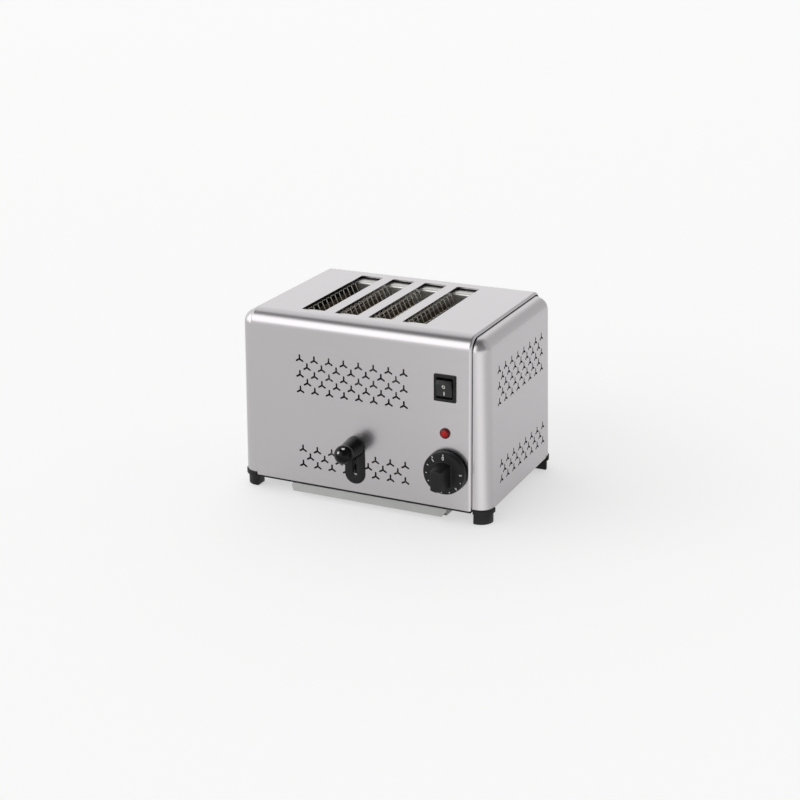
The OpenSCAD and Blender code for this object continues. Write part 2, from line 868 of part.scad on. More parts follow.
module mica_board(i) {
    t = board_t / 2;
    out = bulk_y + plate_s + tab_out;
    color(mica) translate([board_mid(i), slot_y, 0]) {
        block([-t, -board_y, board_low], [t, board_y, board_high]);
        for (m = tab_rows) {
            translate([0, 0, tab_z(m, true)]) block([-t, board_y, -tab_h / 2], [t, out, tab_h / 2]);
            translate([0, 0, tab_z(m, false)]) block([-t, -out, -tab_h / 2], [t, -board_y, tab_h / 2]);
        }
    }
}

// Flat resistance ribbon wound once around the board for each turn, climbing half a pitch on each face
module heater_winding(i) {
    edge = board_y + ribbon_t;
    half = ribbon_w / 2;
    x0 = board_t / 2;
    color(copper) translate([board_mid(i), slot_y, 0]) for (k = [0:ribbon_n - 1]) {
        z = board_low + (k + 0.5) * ribbon_pitch;
        mid = z + ribbon_pitch / 2;
        translate([x0, 0, 0]) ribbon(edge, z, mid, half);
        block([-x0 - ribbon_t, board_y, mid - half], [x0 + ribbon_t, edge, mid + half]);
        translate([-x0 - ribbon_t, 0, 0]) ribbon(edge, z + ribbon_pitch, mid, half);
        if (k > 0) block([-x0 - ribbon_t, -edge, z - half], [x0 + ribbon_t, -board_y, z + half]);
    }
}

module ribbon(edge, z_front, z_back, half) {
    rotate([90, 0, 90]) linear_extrude(ribbon_t) polygon([[-edge, z_front - half], [edge, z_back - half],
        [edge, z_back + half], [-edge, z_front + half]]);
}

// One guard beside a slot: upright wires that flare outwards at the top, tied by rails along Y
module wire_guard() {
    lean = atan(guard_flare / (guard_top - guard_bend));
    h = wire / 2;
    k = h * tan(lean / 2);
    dx = h * cos(lean);
    dz = h * sin(lean);
    path = [[guard_in - h, guard_low], [guard_in + h, guard_low], [guard_in + h, guard_bend - k],
        [guard_in + guard_flare + dx, guard_top - dz], [guard_in + guard_flare - dx, guard_top + dz],
        [guard_in - h, guard_bend + k]];
    reach = (guard_n - 1) / 2 * guard_pitch + wire;
    out = bulk_y + plate_s + tab_out;
    for (i = [0:guard_n - 1]) translate([0, (i - (guard_n - 1) / 2) * guard_pitch + h, 0]) rotate([90, 0, 0])
        linear_extrude(wire) polygon(path);
    for (k = [0:2]) translate([guard_in + wire - guard_weld, 0, guard_rails[k]]) {
        l = k == 1 ? reach : out;
        block([-h, -l, -h], [h, l, h]);
    }
    for (f = flare_rails) translate([guard_in + f * guard_flare, 0, guard_bend + f * (guard_top - guard_bend)])
        rotate([0, lean, 0]) translate([wire - guard_weld, 0, 0]) block([-h, -reach, -h], [h, reach, h]);
}

module wire_guards(i) {
    color(steel) translate([slot_mid(i), slot_y, 0]) {
        wire_guard();
        mirror([1, 0, 0]) wire_guard();
    }
}

// Bread carriage

module bread_rack(i) {
    l = board_y - rack_short;
    step = (2 * l - rung_w) / (rung_n - 1);
    low = rack_z - rack_t;
    color(steel) translate([slot_mid(i), 0, 0]) {
        translate([0, slot_y, low]) {
            block([-rack_half, -l, 0], [rack_half, l, rack_t]);
            for (k = [0:rung_n - 1]) translate([0, (k - (rung_n - 1) / 2) * step, 0])
                block([-rung_half, -rung_w / 2, 0], [rung_half, rung_w / 2, rack_t]);
        }
        block([-web_t / 2, lift_back, low - web_h], [web_t / 2, slot_y + bulk_y + plate_s + web_back, low]);
    }
}

module lift_plate() {
    hw = lift_hole_w / 2;
    hh = lift_hole_h / 2;
    color(inner_steel) difference() {
        block([slot_x - lift_side, lift_y, lift_low], [slot_x + lift_side, lift_back, lift_high]);
        for (s = [-1, 1]) translate([slot_x + s * slot_pitch, 0, lift_hole_z])
            block([-hw, lift_y - eps, -hh], [hw, lift_back + eps, hh]);
    }
}

module lever_arm() {
    color(inner_steel) block([slot_x - arm_w / 2, arm_tip, lever_z - arm_h / 2],
        [slot_x + arm_w / 2, lift_y, lever_z + arm_h / 2]);
}

module lever_knob() {
    p = press_gap;
    color(dark) translate([slot_x, 0, lever_z]) difference() {
        union() {
            translate([0, knob_back, 0]) rotate([90, 0, 0])
                cylinder(r1 = collar_r, r2 = collar_front_r, h = collar_l);
            translate([0, ball_y, 0]) sphere(ball_d / 2);
        }
        block([-arm_w / 2 - p, arm_tip - p, -arm_h / 2 - p], [arm_w / 2 + p, knob_back + eps, arm_h / 2 + p]);
    }
}

module slider_bushes() {
    color(brass) for (s = [-1, 1]) translate([slot_x + s * rod_x, 0, bush_z]) difference() {
        block([-bush_w / 2, lift_back, 0], [bush_w / 2, lift_back + bush_d, bush_h]);
        translate([0, rod_y, -eps]) cylinder(r = rod_r + run_gap, h = bush_h + 2 * eps);
    }
}

module armature_plate() {
    color(inner_steel) block([slot_x - armature_w, lift_back, armature_z],
        [slot_x + armature_w, lift_back + armature_d, armature_z + armature_t]);
}

module guide_rods() {
    color(steel) for (s = [-1, 1]) translate([slot_x + s * rod_x, rod_y, base_z]) {
        cylinder(r = rod_r, h = rod_top - base_z);
        cylinder(r = seat_r, h = seat_h);
    }
}

module rod_bracket() {
    reach = slot_y - bulk_y - plate_s;
    x0 = slot_x - rod_x - bracket_side;
    x1 = slot_x + rod_x + bracket_side;
    color(inner_steel) difference() {
        union() {
            block([x0, rod_y - bracket_front, bracket_z], [x1, reach, bracket_z + lift_t]);
            block([x0, reach - lift_t, bracket_z], [x1, reach, bracket_z + bracket_h]);
        }
        for (s = [-1, 1]) translate([slot_x + s * rod_x, rod_y, bracket_z - eps])
            cylinder(r = rod_r + run_gap, h = lift_t + 2 * eps);
    }
}

// Compression spring: a six-sided wire swept along a helix
function helix_point(k, j, n) = let (t = 360 * k / helix_steps, a = 360 * j / helix_sides,
    r = spring_r + spring_wire / 2 * cos(a), lift = spring_len - spring_wire - 2 * fit_gap)
    [r * cos(t), r * sin(t), fit_gap + spring_wire / 2 + lift * k / n + spring_wire / 2 * sin(a)];

module helix() {
    n = spring_turns * helix_steps;
    m = helix_sides;
    points = [for (k = [0:n], j = [0:m - 1]) helix_point(k, j, n)];
    sides = [for (k = [0:n - 1], j = [0:m - 1]) let (a = k * m + j, b = k * m + (j + 1) % m)
        each [[a, b, b + m], [a, b + m, a + m]]];
    caps = [[for (j = [0:m - 1]) m - 1 - j], [for (j = [0:m - 1]) n * m + j]];
    polyhedron(points, concat(sides, caps), convexity = 8);
}

module lift_springs() {
    color(steel) for (s = [-1, 1]) translate([slot_x + s * rod_x, rod_y, spring_low]) helix();
}

module magnet_core() {
    color(inner_steel) translate([slot_x, rod_y, base_z]) {
        block([-magnet_w, -coil_r, 0], [magnet_w, coil_r, magnet_foot]);
        translate([0, 0, magnet_foot]) cylinder(r = core_r, h = magnet_h - magnet_foot);
    }
}

module magnet_coil() {
    h = magnet_h - magnet_foot - coil_short;
    color(copper) translate([slot_x, rod_y, base_z + magnet_foot + fit_gap]) difference() {
        cylinder(r = coil_r, h = h);
        translate([0, 0, -eps]) cylinder(r = core_r + fit_gap, h = h + 2 * eps);
    }
}

// Lever plate and controls on the front

module plate_studs(gap) {
    for (s = [-1, 1]) translate([0, 0, plate_z + s * (plate_h / 2 - stud_in)])
        disc_y(screw_r + gap, front_y - eps, in_front + stud_out);
}

module lever_plate() {
    color(dark) translate([slot_x, 0, 0]) difference() {
        union() {
            translate([0, front_y, plate_z]) obround(plate_w, plate_h, plate_t - plate_step);
            translate([0, front_y - plate_t + plate_step, plate_z])
                obround(plate_w - plate_step, plate_h - plate_step, plate_step);
            plate_studs(0);
        }
        block([-arm_w / 2 - arm_gap, front_y - plate_t - eps, slot_low - plate_low],
            [arm_w / 2 + arm_gap, front_y + eps, slot_high + plate_high]);
    }
}

module switch_housing() {
    face = front_y - bezel_t;
    pin = pin_l + pin_end;
    color(dark) translate([control_x, 0, base_z + switch_z]) difference() {
        union() {
            block([-bezel_w / 2, face, -bezel_h / 2], [bezel_w / 2, front_y, bezel_h / 2]);
            block([-switch_body_w / 2, front_y, -switch_body_h / 2],
                [switch_body_w / 2, front_y + switch_body_d, switch_body_h / 2]);
        }
        block([-pocket_w / 2, face - eps, -pocket_h / 2],
            [pocket_w / 2, front_y + pivot_in + pocket_in, pocket_h / 2]);
        translate([-rocker_w / 2 - pin, front_y + pivot_in, 0]) rotate([0, 90, 0])
            cylinder(r = pin_r + run_gap, h = rocker_w + 2 * pin);
    }
}

// Rocker tilted with its upper end out; out is the height of the face in front of the pivot
module rocker() {
    out = -pivot_in - bezel_t;
    color(dark) translate([control_x, front_y + pivot_in, base_z + switch_z]) {
        rotate([rocker_tilt, 0, 0]) rotate([90, 0, 90]) translate([0, 0, -rocker_w / 2])
            linear_extrude(rocker_w) polygon([[out + rocker_end, -rocker_half],
                [out - rocker_crest, -rocker_ridge], [out - rocker_dip, 0], [out - rocker_crest, rocker_ridge],
                [out + rocker_end, rocker_half], [rocker_in, rocker_foot], [rocker_in, -rocker_foot]]);
        translate([-rocker_w / 2 - pin_l, 0, 0]) rotate([0, 90, 0])
            cylinder(r = pin_r, h = rocker_w + 2 * pin_l);
    }
}

module lamp_lens() {
    r = lens_r - lens_rim;
    color(red) translate([control_x, 0, base_z + lamp_z]) {
        disc_y(lens_r, front_y - lens_rim_t, front_y);
        translate([0, front_y - lens_rim_t, 0]) rotate([90, 0, 0])
            cylinder(r1 = r, r2 = r - lens_taper, h = lens_dome);
    }
}

module lamp_body() {
    color(dark) translate([control_x, 0, base_z + lamp_z]) {
        disc_y(lamp_body_r, front_y + fit_gap, front_y + lamp_l);
        disc_y(lamp_nut_r, in_front + fit_gap, in_front + lamp_nut_t);
    }
}

module timer_body() {
    color(inner_steel) translate([knob_x, 0, base_z + knob_z]) difference() {
        union() {
            block([-timer_w / 2, in_front, -timer_h / 2], [timer_w / 2, in_front + timer_d, timer_h / 2]);
            disc_y(boss_r, front_y - boss_out, in_front);
        }
        disc_y(shaft_r + run_gap, front_y - 2 * boss_out, front_y + shaft_in + shaft_end);
        for (s = [-1, 1]) translate([s * timer_screw_x, 0, 0])
            disc_y(screw_r + fit_gap, in_front - eps, in_front + screw_in + screw_end);
    }
}

module timer_screws() {
    color(steel) for (s = [-1, 1]) translate([knob_x + s * timer_screw_x, 0, base_z + knob_z]) {
        disc_y(head_r, front_y - head_h, front_y);
        disc_y(screw_r, front_y, in_front + screw_in);
    }
}

module timer_shaft() {
    color(steel) translate([knob_x, 0, base_z + knob_z])
        disc_y(shaft_r, dial_y - shaft_out, front_y + shaft_in);
}

// Knob: round skirt with the dial on its face and a tapered grip bar with rounded ends
module timer_knob() {
    r = knob_d / 2;
    back = front_y - knob_off;
    color(dark) translate([knob_x, 0, base_z + knob_z]) difference() {
        union() {
            translate([0, back, 0]) rotate([90, 0, 0])
                cylinder(r1 = r, r2 = r - knob_taper, h = skirt_h - knob_edge);
            translate([0, dial_y + knob_edge, 0]) rotate([90, 0, 0])
                cylinder(r1 = r - knob_taper, r2 = r - 2 * knob_edge, h = knob_edge);
            translate([0, dial_y, 0]) intersection() {
                translate([0, 0, -grip_drop]) rotate([90, 0, 0])
                    cylinder(r1 = grip_r1, r2 = grip_r2, h = grip_h);
                translate([0, 0, -r]) linear_extrude(knob_d) polygon([[-grip_base / 2, eps],
                    [grip_base / 2, eps], [grip_front / 2, -grip_h], [-grip_front / 2, -grip_h]]);
            }
        }
        disc_y(r - knob_wall, back - knob_hollow, back + eps);
        disc_y(shaft_r + run_gap, dial_y - shaft_out - shaft_end, back);
    }
}

// Electrics at the right-hand side and behind the chamber

module terminal_block() {
    color(cream) translate([block_x, block_y, base_z]) difference() {
        block([-block_w, -block_d, 0], [block_w, block_d, block_h]);
        for (k = [-1:1]) translate([k * block_pitch, 0, block_h - block_hole_in])
            cylinder(r = block_hole_r, h = block_h);
    }
}

module bus_bars() {
    y0 = slot_y + bulk_y + plate_s + tab_out + fit_gap;
    x0 = board_mid(0) - bar_end;
    x1 = board_mid(slot_n) + bar_end;
    color(brass) for (m = tab_rows) translate([0, 0, tab_z(m, true)])
        block([x0, y0, -tab_h / 2], [x1, y0 + bar_t, tab_h / 2]);
}

module cord_gland() {
    color(dark) translate([gland_x, 0, gland_z]) difference() {
        union() {
            disc_y(gland_flange_r, back_y, back_y + gland_out);
            disc_y(gland_r, back_y - gland_in, back_y);
            disc_y(gland_nut_r, in_back - gland_nut_t, in_back - fit_gap);
        }
        disc_y(gland_bore, back_y - gland_in - eps, back_y + gland_out + eps);
    }
}

place() outer_cover();
place() left_end_cap();
place() right_end_cap();
place() rear_panel();
place() rear_screws();
place() base_plate();
place() base_screws();
place() foot_front_left();
place() foot_front_right();
place() foot_rear_left();
place() foot_rear_right();
place() foot_screws();
place() front_bulkhead();
place() rear_bulkhead();
place() heat_shield_left();
place() heat_shield_right();
place() mica_board(0);  // mica_board_1
place() mica_board(1);  // mica_board_2
place() mica_board(2);  // mica_board_3
place() mica_board(3);  // mica_board_4
place() mica_board(4);  // mica_board_5
place() heater_winding(0);  // heater_winding_1
place() heater_winding(1);  // heater_winding_2
place() heater_winding(2);  // heater_winding_3
place() heater_winding(3);  // heater_winding_4
place() heater_winding(4);  // heater_winding_5
place() wire_guards(0);  // wire_guards_1
place() wire_guards(1);  // wire_guards_2
place() wire_guards(2);  // wire_guards_3
place() wire_guards(3);  // wire_guards_4
place() guide_rods();
place() rod_bracket();
place() lift_springs();
place() lever_plate();
place() magnet_core();
place() magnet_coil();
place() switch_housing();
place() rocker();
place() lamp_lens();
place() lamp_body();
place() timer_body();
place() timer_screws();
place() timer_shaft();
place() timer_knob();
place() terminal_block();
place() bus_bars();
place() cord_gland();
place() tray_rails();
place() crumb_tray();
place() lift_plate();
place() lever_arm();
place() lever_knob();
place() bread_rack(0);  // bread_rack_1
place() bread_rack(1);  // bread_rack_2
place() bread_rack(2);  // bread_rack_3
place() bread_rack(3);  // bread_rack_4
place() slider_bushes();
place() armature_plate();
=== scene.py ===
import json
import math
import bmesh
import bpy
from mathutils import Matrix, Vector


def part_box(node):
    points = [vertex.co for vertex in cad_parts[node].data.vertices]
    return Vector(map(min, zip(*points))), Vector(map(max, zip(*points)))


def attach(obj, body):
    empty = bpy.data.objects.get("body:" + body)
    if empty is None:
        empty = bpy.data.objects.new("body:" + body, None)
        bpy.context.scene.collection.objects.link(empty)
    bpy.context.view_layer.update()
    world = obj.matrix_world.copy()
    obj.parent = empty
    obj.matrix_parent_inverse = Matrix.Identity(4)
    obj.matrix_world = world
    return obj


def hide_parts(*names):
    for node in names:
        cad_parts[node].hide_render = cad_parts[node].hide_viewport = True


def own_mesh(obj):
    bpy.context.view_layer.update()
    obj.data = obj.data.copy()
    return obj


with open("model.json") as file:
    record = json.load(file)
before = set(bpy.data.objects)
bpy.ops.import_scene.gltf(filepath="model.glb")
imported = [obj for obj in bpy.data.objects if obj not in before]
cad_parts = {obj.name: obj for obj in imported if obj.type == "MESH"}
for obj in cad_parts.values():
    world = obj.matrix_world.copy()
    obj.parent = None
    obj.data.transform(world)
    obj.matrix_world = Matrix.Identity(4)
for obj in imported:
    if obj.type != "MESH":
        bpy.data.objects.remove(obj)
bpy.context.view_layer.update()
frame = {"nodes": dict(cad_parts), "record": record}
milli = 0.001
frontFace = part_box("outer_cover")[0].y
axisGap = 0.02    # mm, how far from its axis a turned profile ends
wireSides = 10    # sides of a round wire
noiseRange = {"From Min": 0.3, "From Max": 0.7}    # where most of a noise pattern lies
polished = bpy.data.collections.new("polished pieces")   # what the two lamps shine on


# small helpers

def linear(hexText):
    channels = [int(hexText[i:i + 2], 16) / 255 for i in (1, 3, 5)]
    return tuple(c / 12.92 if c < 0.04045 else ((c + 0.055) / 1.055) ** 2.4 for c in channels) + (1.0,)


def addNode(tree, kind, settings=None, inputs=None):
    node = tree.nodes.new(kind)
    for name, value in (settings or {}).items():
        setattr(node, name, value)
    for name, value in (inputs or {}).items():
        if isinstance(value, bpy.types.NodeSocket):
            tree.links.new(value, node.inputs[name])
        else:
            node.inputs[name].default_value = value
    return node


def newMaterial(name):
    # an empty material, its tree and the Object coordinates that its patterns read
    material = bpy.data.materials.new(name)
    material.use_nodes = True
    tree = material.node_tree
    tree.nodes.clear()
    return material, tree, addNode(tree, "ShaderNodeTexCoord").outputs["Object"]


def middleOf(node):
    low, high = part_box(node)
    return (low + high) / 2


def linked(name, data):
    thing = bpy.data.objects.new(name, data)
    bpy.context.scene.collection.objects.link(thing)
    return thing


def finishMesh(bm, sharp):
    # merged, turned outwards, smooth except along edges sharper than the given angle
    bmesh.ops.remove_doubles(bm, verts=bm.verts, dist=1e-6)
    bmesh.ops.recalc_face_normals(bm, faces=bm.faces)
    for face in bm.faces:
        face.smooth = True
    for edge in bm.edges:
        edge.smooth = len(edge.link_faces) == 2 and edge.calc_face_angle(0) < math.radians(sharp)


def meshFrom(bm, name, material, sharp=35):
    finishMesh(bm, sharp)
    mesh = bpy.data.meshes.new(name)
    bm.to_mesh(mesh)
    bm.free()
    mesh.materials.append(material)
    return mesh


def stand(piece, body, slot, *nodes):
    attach(piece, body)
    if nodes:
        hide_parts(*nodes)
    return piece


def addPiece(bm, name, material, body, slot, *nodes):
    return stand(linked(name, meshFrom(bm, name, material)), body, slot, *nodes)


def fullTurn(count):
    return [2 * math.pi * k / count for k in range(count)]


def loft(bm, rings, closed=False):
    # rings of equally many points, in order; closed joins the last ring to the first
    rows = [[bm.verts.new(p) for p in ring] for ring in rings]
    pairs = list(zip(rows, rows[1:])) + ([(rows[-1], rows[0])] if closed else [])
    for a, b in pairs:
        for i in range(len(a)):
            k = (i + 1) % len(a)
            bm.faces.new((a[i], a[k], b[k], b[i]))
    if not closed:
        bm.faces.new(rows[0])
        bm.faces.new(rows[-1])


def rounded(points, radius, steps=4, closed=False):
    # a polyline with its corners rounded; radius may be one number or one for each point
    most = 0.49    # share of a side that one corner may take
    radii = radius if isinstance(radius, (list, tuple)) else [radius] * len(points)
    found = []
    for i, p in enumerate(points):
        p = Vector(p)
        if (not closed and i in (0, len(points) - 1)) or radii[i] <= 0:
            found.append(p)
            continue
        u, v = Vector(points[i - 1]) - p, Vector(points[(i + 1) % len(points)]) - p
        half = u.angle(v) / 2
        run = min(radii[i] / math.tan(half), most * u.length, most * v.length)
        u.normalize()
        v.normalize()
        centre = p + (u + v).normalized() * run / math.cos(half)
        start, stop = p + u * run - centre, p + v * run - centre
        turn = start.angle(stop)
        for k in range(steps + 1):
            t = k / steps
            arm = start * math.sin((1 - t) * turn) + stop * math.sin(t * turn)
            found.append(centre + arm / math.sin(turn))
    return found


def lathe(bm, profile, centre, sides=72):
    # profile of (distance to the front, radius) in mm, turned about an axis along Y
    turns = fullTurn(sides)
    rings = []
    for forward, radius in profile:
        r, y = radius * milli, centre[1] - forward * milli
        rings.append([(centre[0] + r * math.cos(a), y, centre[2] + r * math.sin(a)) for a in turns])
    loft(bm, rings)


def outline(width, height, radius, steps=6):
    # rounded rectangle, in mm
    w, h = width / 2, height / 2
    return rounded([(-w, -h), (w, -h), (w, h), (-w, h)], radius, steps, True)


def onFront(points, middle, forward):
    # flat points in mm set upright, so far in front of the front panel
    y = frontFace - forward * milli
    return [Vector((middle.x + p[0] * milli, y, middle.z + p[1] * milli)) for p in points]


def newTree(name, sizes):
    # an empty Geometry Nodes tree with named inputs for its sizes
    tree = bpy.data.node_groups.new(name, "GeometryNodeTree")
    tree.interface.new_socket("Geometry", in_out="INPUT", socket_type="NodeSocketGeometry")
    for label, kind in sizes:
        tree.interface.new_socket(label, in_out="INPUT", socket_type="NodeSocket" + kind)
    tree.interface.new_socket("Geometry", in_out="OUTPUT", socket_type="NodeSocketGeometry")
    return tree, addNode(tree, "NodeGroupInput").outputs


def endTree(tree, geometry, material):
    real = addNode(tree, "GeometryNodeRealizeInstances", inputs={"Geometry": geometry})
    dressed = addNode(tree, "GeometryNodeSetMaterial", inputs={
        "Geometry": real.outputs["Geometry"], "Material": material})
    addNode(tree, "NodeGroupOutput", inputs={"Geometry": dressed.outputs["Geometry"]})


def bake(name, carrierMesh, tree, values, sharp=35):
    # runs a tree on a carrier and keeps the result as a plain mesh
    piece = linked(name, carrierMesh)
    modifier = piece.modifiers.new(name, "NODES")
    modifier.node_group = tree
    for item in tree.interface.items_tree:
        if item.item_type == "SOCKET" and item.in_out == "INPUT" and item.name in values:
            modifier[item.identifier] = values[item.name]
    graph = bpy.context.evaluated_depsgraph_get()
    made = bpy.data.meshes.new_from_object(piece.evaluated_get(graph), depsgraph=graph)
    piece.modifiers.remove(modifier)
    piece.data = made
    bm = bmesh.new()
    bm.from_mesh(made)
    finishMesh(bm, sharp)
    bm.to_mesh(made)
    bm.free()
    return piece


# camera, from the photograph's own edges; angles in radians

cameraSet = {"azimuth": 0.445266, "elevation": 0.345088, "roll": -0.01094, "focalPixels": 1624.1,
             "framePixels": 800, "sensor": 36.0, "place": (0.78675, -1.62739, 0.75110)}


def makeCamera():
    s = cameraSet
    az, el, roll = s["azimuth"], s["elevation"], s["roll"]
    back = Vector((math.sin(az) * math.cos(el), -math.cos(az) * math.cos(el), math.sin(el)))
    level = Vector((math.cos(az), math.sin(az), 0))
    upright = back.cross(level)
    right = math.cos(roll) * level + math.sin(roll) * upright
    top = -math.sin(roll) * level + math.cos(roll) * upright
    data = bpy.data.cameras.new("camera")
    data.sensor_width = s["sensor"]
    data.lens = s["focalPixels"] / s["framePixels"] * s["sensor"]
    camera = linked("camera", data)
    turn = Matrix((right, top, back)).transposed().to_4x4()
    turn.translation = Vector(s["place"])
    camera.matrix_world = turn
    bpy.context.scene.camera = camera


makeCamera()
bpy.context.scene.view_settings.view_transform = "Standard"
print("camera set")


# studio: pale floor, a large soft box in front on the left, darker ceiling, two lamps for the polished ball

studioSet = {"floorSize": 14.0, "floorDrop": 0.0002, "floorColour": "#BDBDBD", "floorLift": 0.52,
             # pool: a painted pool of light on the floor, seen only in reflections
             "tooth": 2.5, "pool": {"from": (0.14, -0.06), "turn": 25.0, "spread": 64.0, "lift": 0.58},
             "brightest": 2.5, "frontBlend": 0.15, "sideBlend": 0.2,
             # (degrees above the horizon, light) in each quarter of the room
             "frontLeft": [(-6, 1.4), (0, 1.7), (6, 2.2), (40, 2.2), (47, 1.1), (55, 0.25), (90, 0.22)],
             "frontRight": [(-6, 1.1), (2, 1.4), (8, 1.1), (16, 0.45), (45, 0.35), (60, 0.25), (90, 0.22)],
             "backLeft": [(-6, 1.0), (4, 1.2), (54, 1.2), (64, 1.0), (76, 0.4), (90, 0.22)],
             "backRight": [(-6, 0.9), (4, 0.8), (45, 0.7), (60, 0.5), (90, 0.22)],
             "lampAim": (0, 0, 0.1),
             "lamps": [{"toward": (-0.13, -0.03, 0.99), "far": 1.6, "size": 0.9, "watts": 80.0},
                       {"toward": (-0.73, -0.57, 0.38), "far": 1.6, "size": 0.7, "watts": 55.0}]}


def elevationRamp(tree, height, stops):
    ramp = addNode(tree, "ShaderNodeValToRGB", inputs={"Fac": height})
    band = ramp.color_ramp
    while len(band.elements) < len(stops):
        band.elements.new(0.5)
    for element, (angle, light) in zip(band.elements, stops):
        share = light / studioSet["brightest"]
        element.position = (math.sin(math.radians(angle)) + 1) / 2
        element.color = (share, share, share, 1)
    return ramp.outputs["Color"]


def makeWorld():
    s = studioSet
    world = bpy.data.worlds.new("studio")
    bpy.context.scene.world = world
    world.use_nodes = True
    tree = world.node_tree
    tree.nodes.clear()
    coords = addNode(tree, "ShaderNodeTexCoord")
    parts = addNode(tree, "ShaderNodeSeparateXYZ", inputs={"Vector": coords.outputs["Generated"]})
    height = addNode(tree, "ShaderNodeMapRange", inputs={"Value": parts.outputs["Z"], "From Min": -1.0})
    toFront, toLeft = [addNode(tree, "ShaderNodeMapRange", {"interpolation_type": "SMOOTHSTEP"}, {
        "Value": parts.outputs[axis], "From Min": s[blend], "From Max": -s[blend]}).outputs["Result"]
        for axis, blend in (("Y", "frontBlend"), ("X", "sideBlend"))]
    level = height.outputs["Result"]
    halves = [addNode(tree, "ShaderNodeMix", {"data_type": "RGBA"}, {
        0: toLeft, 6: elevationRamp(tree, level, s[way + "Right"]),
        7: elevationRamp(tree, level, s[way + "Left"])}) for way in ("back", "front")]
    walls = addNode(tree, "ShaderNodeMix", {"data_type": "RGBA"}, {
        0: toFront, 6: halves[0].outputs[2], 7: halves[1].outputs[2]})
    shade = addNode(tree, "ShaderNodeBackground", inputs={
        "Color": walls.outputs[2], "Strength": s["brightest"]})
    addNode(tree, "ShaderNodeOutputWorld", inputs={"Surface": shade.outputs["Background"]})


def paperSweep():
    # white paper: matt, with a faint tooth, which is drawn 2.5 mm wide to show
    s = studioSet
    material, tree, place = newMaterial("white paper sweep")
    tooth = addNode(tree, "ShaderNodeTexNoise", inputs={"Vector": place, "Scale": 1 / (s["tooth"] * milli)})
    bump = addNode(tree, "ShaderNodeBump", inputs={
        "Height": tooth.outputs["Fac"], "Strength": 0.03, "Distance": 0.0002})
    seen = addNode(tree, "ShaderNodeLightPath")
    direct = seen.outputs["Is Camera Ray"]
    for way in ("Is Glossy Ray", "Is Transmission Ray"):
        direct = addNode(tree, "ShaderNodeMath", {"operation": "MAXIMUM"}, {
            0: direct, 1: seen.outputs[way]}).outputs[0]
    # a painted pool of light: a wedge of floor beside the front right corner glows brighter in reflections
    # only, and that corner mirrors it as a painted highlight streak
    pool = s["pool"]
    turned = addNode(tree, "ShaderNodeMapping", {"vector_type": "TEXTURE"}, {
        "Vector": place, "Location": (*pool["from"], 0), "Rotation": (0, 0, math.radians(pool["turn"] - 90))})
    ways = addNode(tree, "ShaderNodeSeparateXYZ", inputs={"Vector": turned.outputs["Vector"]})
    angle = addNode(tree, "ShaderNodeMath", {"operation": "ARCTAN2"}, {
        0: ways.outputs["Y"], 1: ways.outputs["X"]})
    aside = addNode(tree, "ShaderNodeMath", {"operation": "ABSOLUTE"}, {0: angle.outputs[0]})
    wedge = addNode(tree, "ShaderNodeMapRange", {"interpolation_type": "SMOOTHSTEP"}, {
        "Value": aside.outputs[0], "From Min": math.radians(pool["spread"]), "From Max": 0.0,
        "To Max": pool["lift"]})
    mirrored = addNode(tree, "ShaderNodeMath", {"operation": "MULTIPLY"}, {
        0: seen.outputs["Is Glossy Ray"], 1: wedge.outputs["Result"]})
    lift = addNode(tree, "ShaderNodeMath", {"operation": "MULTIPLY_ADD"}, {
        0: direct, 1: s["floorLift"], 2: mirrored.outputs[0]})
    shade = addNode(tree, "ShaderNodeBsdfPrincipled", inputs={
        "Base Color": linear(s["floorColour"]), "Roughness": 0.95, "Specular IOR Level": 0.1,
        "Emission Color": linear("#FFFFFF"), "Emission Strength": lift.outputs[0],
        "Normal": bump.outputs["Normal"]})
    addNode(tree, "ShaderNodeOutputMaterial", inputs={"Surface": shade.outputs["BSDF"]})
    return material


def makeFloor():
    half = studioSet["floorSize"] / 2
    bm = bmesh.new()
    bm.faces.new([bm.verts.new((x, y, -studioSet["floorDrop"])) for x, y in
                  ((-half, -half), (half, -half), (half, half), (-half, half))])
    floor = linked("floor", meshFrom(bm, "floor", paperSweep()))


def makeLamps():
    for number, s in enumerate(studioSet["lamps"], 1):
        data = bpy.data.lights.new("lamp%d" % number, "AREA")
        data.shape = "DISK"
        data.size = s["size"]
        data.energy = s["watts"]
        lamp = linked(data.name, data)
        way = Vector(s["toward"]).normalized()
        lamp.location = way * s["far"] + Vector(studioSet["lampAim"])
        lamp.rotation_euler = way.to_track_quat("Z", "Y").to_euler()
        lamp.visible_diffuse = False   # only the spots that polished pieces mirror
        lamp.light_linking.receiver_collection = polished


makeWorld()
makeFloor()
makeLamps()
print("studio set")


# finishes

